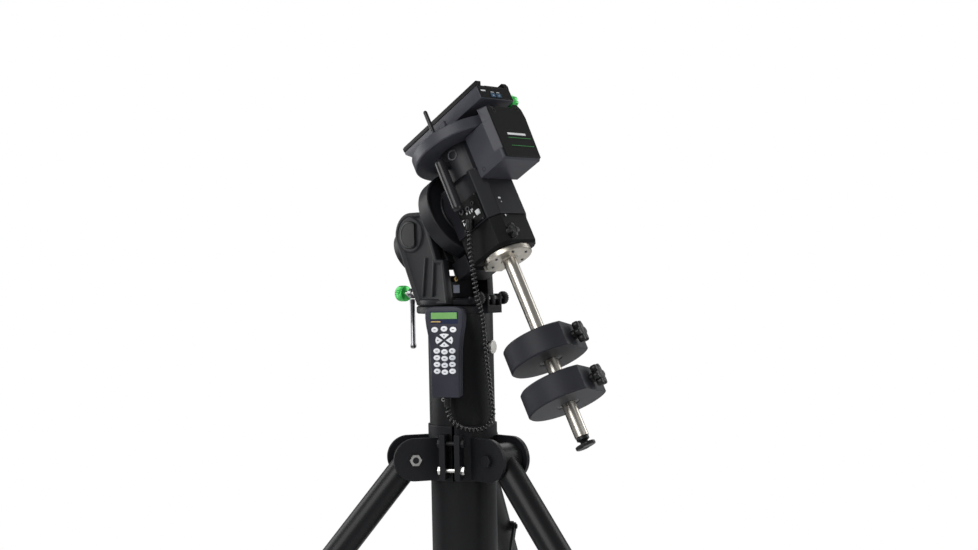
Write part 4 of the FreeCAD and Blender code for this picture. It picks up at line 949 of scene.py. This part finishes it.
def lit_window():
    material, nodes, links, shader = start_material("lit_window")
    shader.inputs["Roughness"].default_value = 0.3
    shader.inputs["Emission Strength"].default_value = 0.06
    place = nodes.new("ShaderNodeTexCoord")
    cells = noise(nodes, 60)
    ramp = tint_ramp(nodes, ((0, (0.14, 0.34, 0.090)), (1, (0.18, 0.41, 0.12))))
    links.new(place.outputs["Object"], cells.inputs["Vector"])
    links.new(cells.outputs["Fac"], ramp.inputs["Fac"])
    links.new(ramp.outputs["Color"], shader.inputs["Base Color"])
    links.new(ramp.outputs["Color"], shader.inputs["Emission Color"])
    return material


piece("display_window", brick((-0.0302, -0.0287, 0.1748), (0.0302, -0.0280, 0.1890), AT_HANDSET),
      lit_window(),
      "tripod", 0.0002, 30, ())
piece("display_badge", brick((-0.0305, -0.0287, 0.1672), (-0.0080, -0.0283, 0.1702), AT_HANDSET), brass,
      "tripod", 0, 30, ())

# Keys: white silicone caps in one mat. Three menu keys, four arrow keys round a cross, and twelve
# number keys, each with a small grey mark.
key_white = soft_black("key_white", (0.80, 0.82, 0.88), 0.45, 600)
key_grey = soft_black("key_grey", (0.10, 0.11, 0.14), 0.5, 600)
KEY_FACE = -0.0276


def key_cap(x, z, wide, tall):
    """Domed oval key."""
    rings = []
    for scale, proud in ((1.0, 0.0), (1.0, 0.0014), (0.93, 0.0021), (0.70, 0.0024)):
        rings.append([(x + wide * scale * math.cos(math.radians(a)), KEY_FACE - proud,
                       z + tall * scale * math.sin(math.radians(a))) for a in range(0, 360, 12)])
    return lofted(rings, AT_HANDSET)


menu_places = [(-0.022, 0.151), (0.0, 0.153), (0.021, 0.151)]
number_places = [(x, z - drop) for z in (0.104, 0.089, 0.074, 0.059)
                 for x, drop in ((-0.018, 0), (0.0, 0.002), (0.018, 0))]
for name, places, tall in (("menu", menu_places, 0.0062), ("number", number_places, 0.0060)):
    caps, dashes = bmesh.new(), bmesh.new()
    for x, z in places:
        add(caps, key_cap(x, z, 0.0078, tall))
        add(dashes, brick((x - 0.0026, KEY_FACE - 0.0026, z - 0.0009),
                          (x + 0.0026, KEY_FACE - 0.0023, z + 0.0009),
                          AT_HANDSET))
    piece(f"{name}_caps", caps, key_white, f"{name}_keys", 0, 40, (f"handset_{name}_keys",))
    piece(f"{name}_marks", dashes, key_grey, f"{name}_keys")
arrows, dots = bmesh.new(), bmesh.new()
for quarter in range(4):
    facing = math.pi / 2 * quarter
    rim = []
    for step in range(9):
        angle = facing + math.radians(-34 + 68 * step / 8)
        rim.append((0.0205 * math.cos(angle), 0.1275 + 0.0150 * math.sin(angle)))
    rim.append((0.0035 * math.cos(facing), 0.1275 + 0.0030 * math.sin(facing)))
    arrow = lofted([[(x, KEY_FACE, z) for x, z in rim], [(x, KEY_FACE - 0.0022, z) for x, z in rim]],
                   AT_HANDSET)
    add(arrows, arrow)
    middle = (0.0145 * math.cos(facing), KEY_FACE - 0.0021, 0.1275 + 0.0100 * math.sin(facing))
    add(dots, turned([(0, 0), (0.0017, 0), (0.0015, 0.0004), (0, 0.0005)],
                     AT_HANDSET @ lying(middle, (0, -1, 0)), 20))
piece("arrow_caps", arrows, key_white, "arrow_keys", 0.0006, 40, ("handset_arrow_keys",))
piece("arrow_dots", dots, key_grey, "arrow_keys")

# Floor and light: a plain white floor, a white surround and large soft lamps.
floor_mesh = bmesh.new()
bmesh.ops.create_circle(floor_mesh, cap_ends=True, radius=2.1, segments=128)
floor_data = bpy.data.meshes.new("floor")
floor_mesh.to_mesh(floor_data)
floor_mesh.free()
floor = bpy.data.objects.new("floor", floor_data)
bpy.context.scene.collection.objects.link(floor)
pale = bpy.data.materials.new("pale_floor")
pale.use_nodes = True
pale_nodes = pale.node_tree.nodes
pale_nodes["Principled BSDF"].inputs["Base Color"].default_value = (0.9, 0.9, 0.9, 1)
pale_nodes["Principled BSDF"].inputs["Roughness"].default_value = 0.8
pale_nodes["Principled BSDF"].inputs["Specular IOR Level"].default_value = 0.1
floor_data.materials.append(pale)
world = bpy.data.worlds.new("studio")
bpy.context.scene.world = world
world.use_nodes = True
sky_nodes, sky_links = world.node_tree.nodes, world.node_tree.links
seen = sky_nodes["Background"]
seen.inputs["Color"].default_value = (1, 1, 1, 1)
seen.inputs["Strength"].default_value = 1.0
lit = sky_nodes.new("ShaderNodeBackground")
lit.inputs["Color"].default_value = (0.95, 0.97, 1, 1)
lit.inputs["Strength"].default_value = 0.24
path = sky_nodes.new("ShaderNodeLightPath")
mix = sky_nodes.new("ShaderNodeMixShader")
sky_links.new(path.outputs["Is Camera Ray"], mix.inputs["Fac"])
sky_links.new(lit.outputs["Background"], mix.inputs[1])
sky_links.new(seen.outputs["Background"], mix.inputs[2])
sky_links.new(mix.outputs["Shader"], sky_nodes["World Output"].inputs["Surface"])
bpy.context.scene.view_settings.view_transform = "Standard"
target = Vector((COLUMN_X + 0.08, 0, 1.05))
for name, bearing, height, distance, wide, power in (
        ("key", -38, 2.4, 2.6, 1.8, 62), ("fill", 52, 1.6, 3.2, 1.6, 26), ("top", 160, 3.4, 2.6, 2.0, 34),
        ("rim_left", -112, 1.6, 2.6, 1.4, 30), ("rim_right", 110, 1.8, 2.8, 1.4, 26)):
    lamp = bpy.data.lights.new(name, "AREA")
    lamp.shape = "RECTANGLE"
    lamp.size = wide
    lamp.size_y = wide * 1.3
    lamp.energy = power
    holder = bpy.data.objects.new(name, lamp)
    bpy.context.scene.collection.objects.link(holder)
    swing = math.radians(bearing)
    back_to_camera = -ahead
    way = back_to_camera * math.cos(swing) + across * math.sin(swing)
    holder.location = target + way * distance + Vector((0, 0, height - 1.05))
    holder.rotation_euler = (target - holder.location).to_track_quat("-Z", "Y").to_euler()
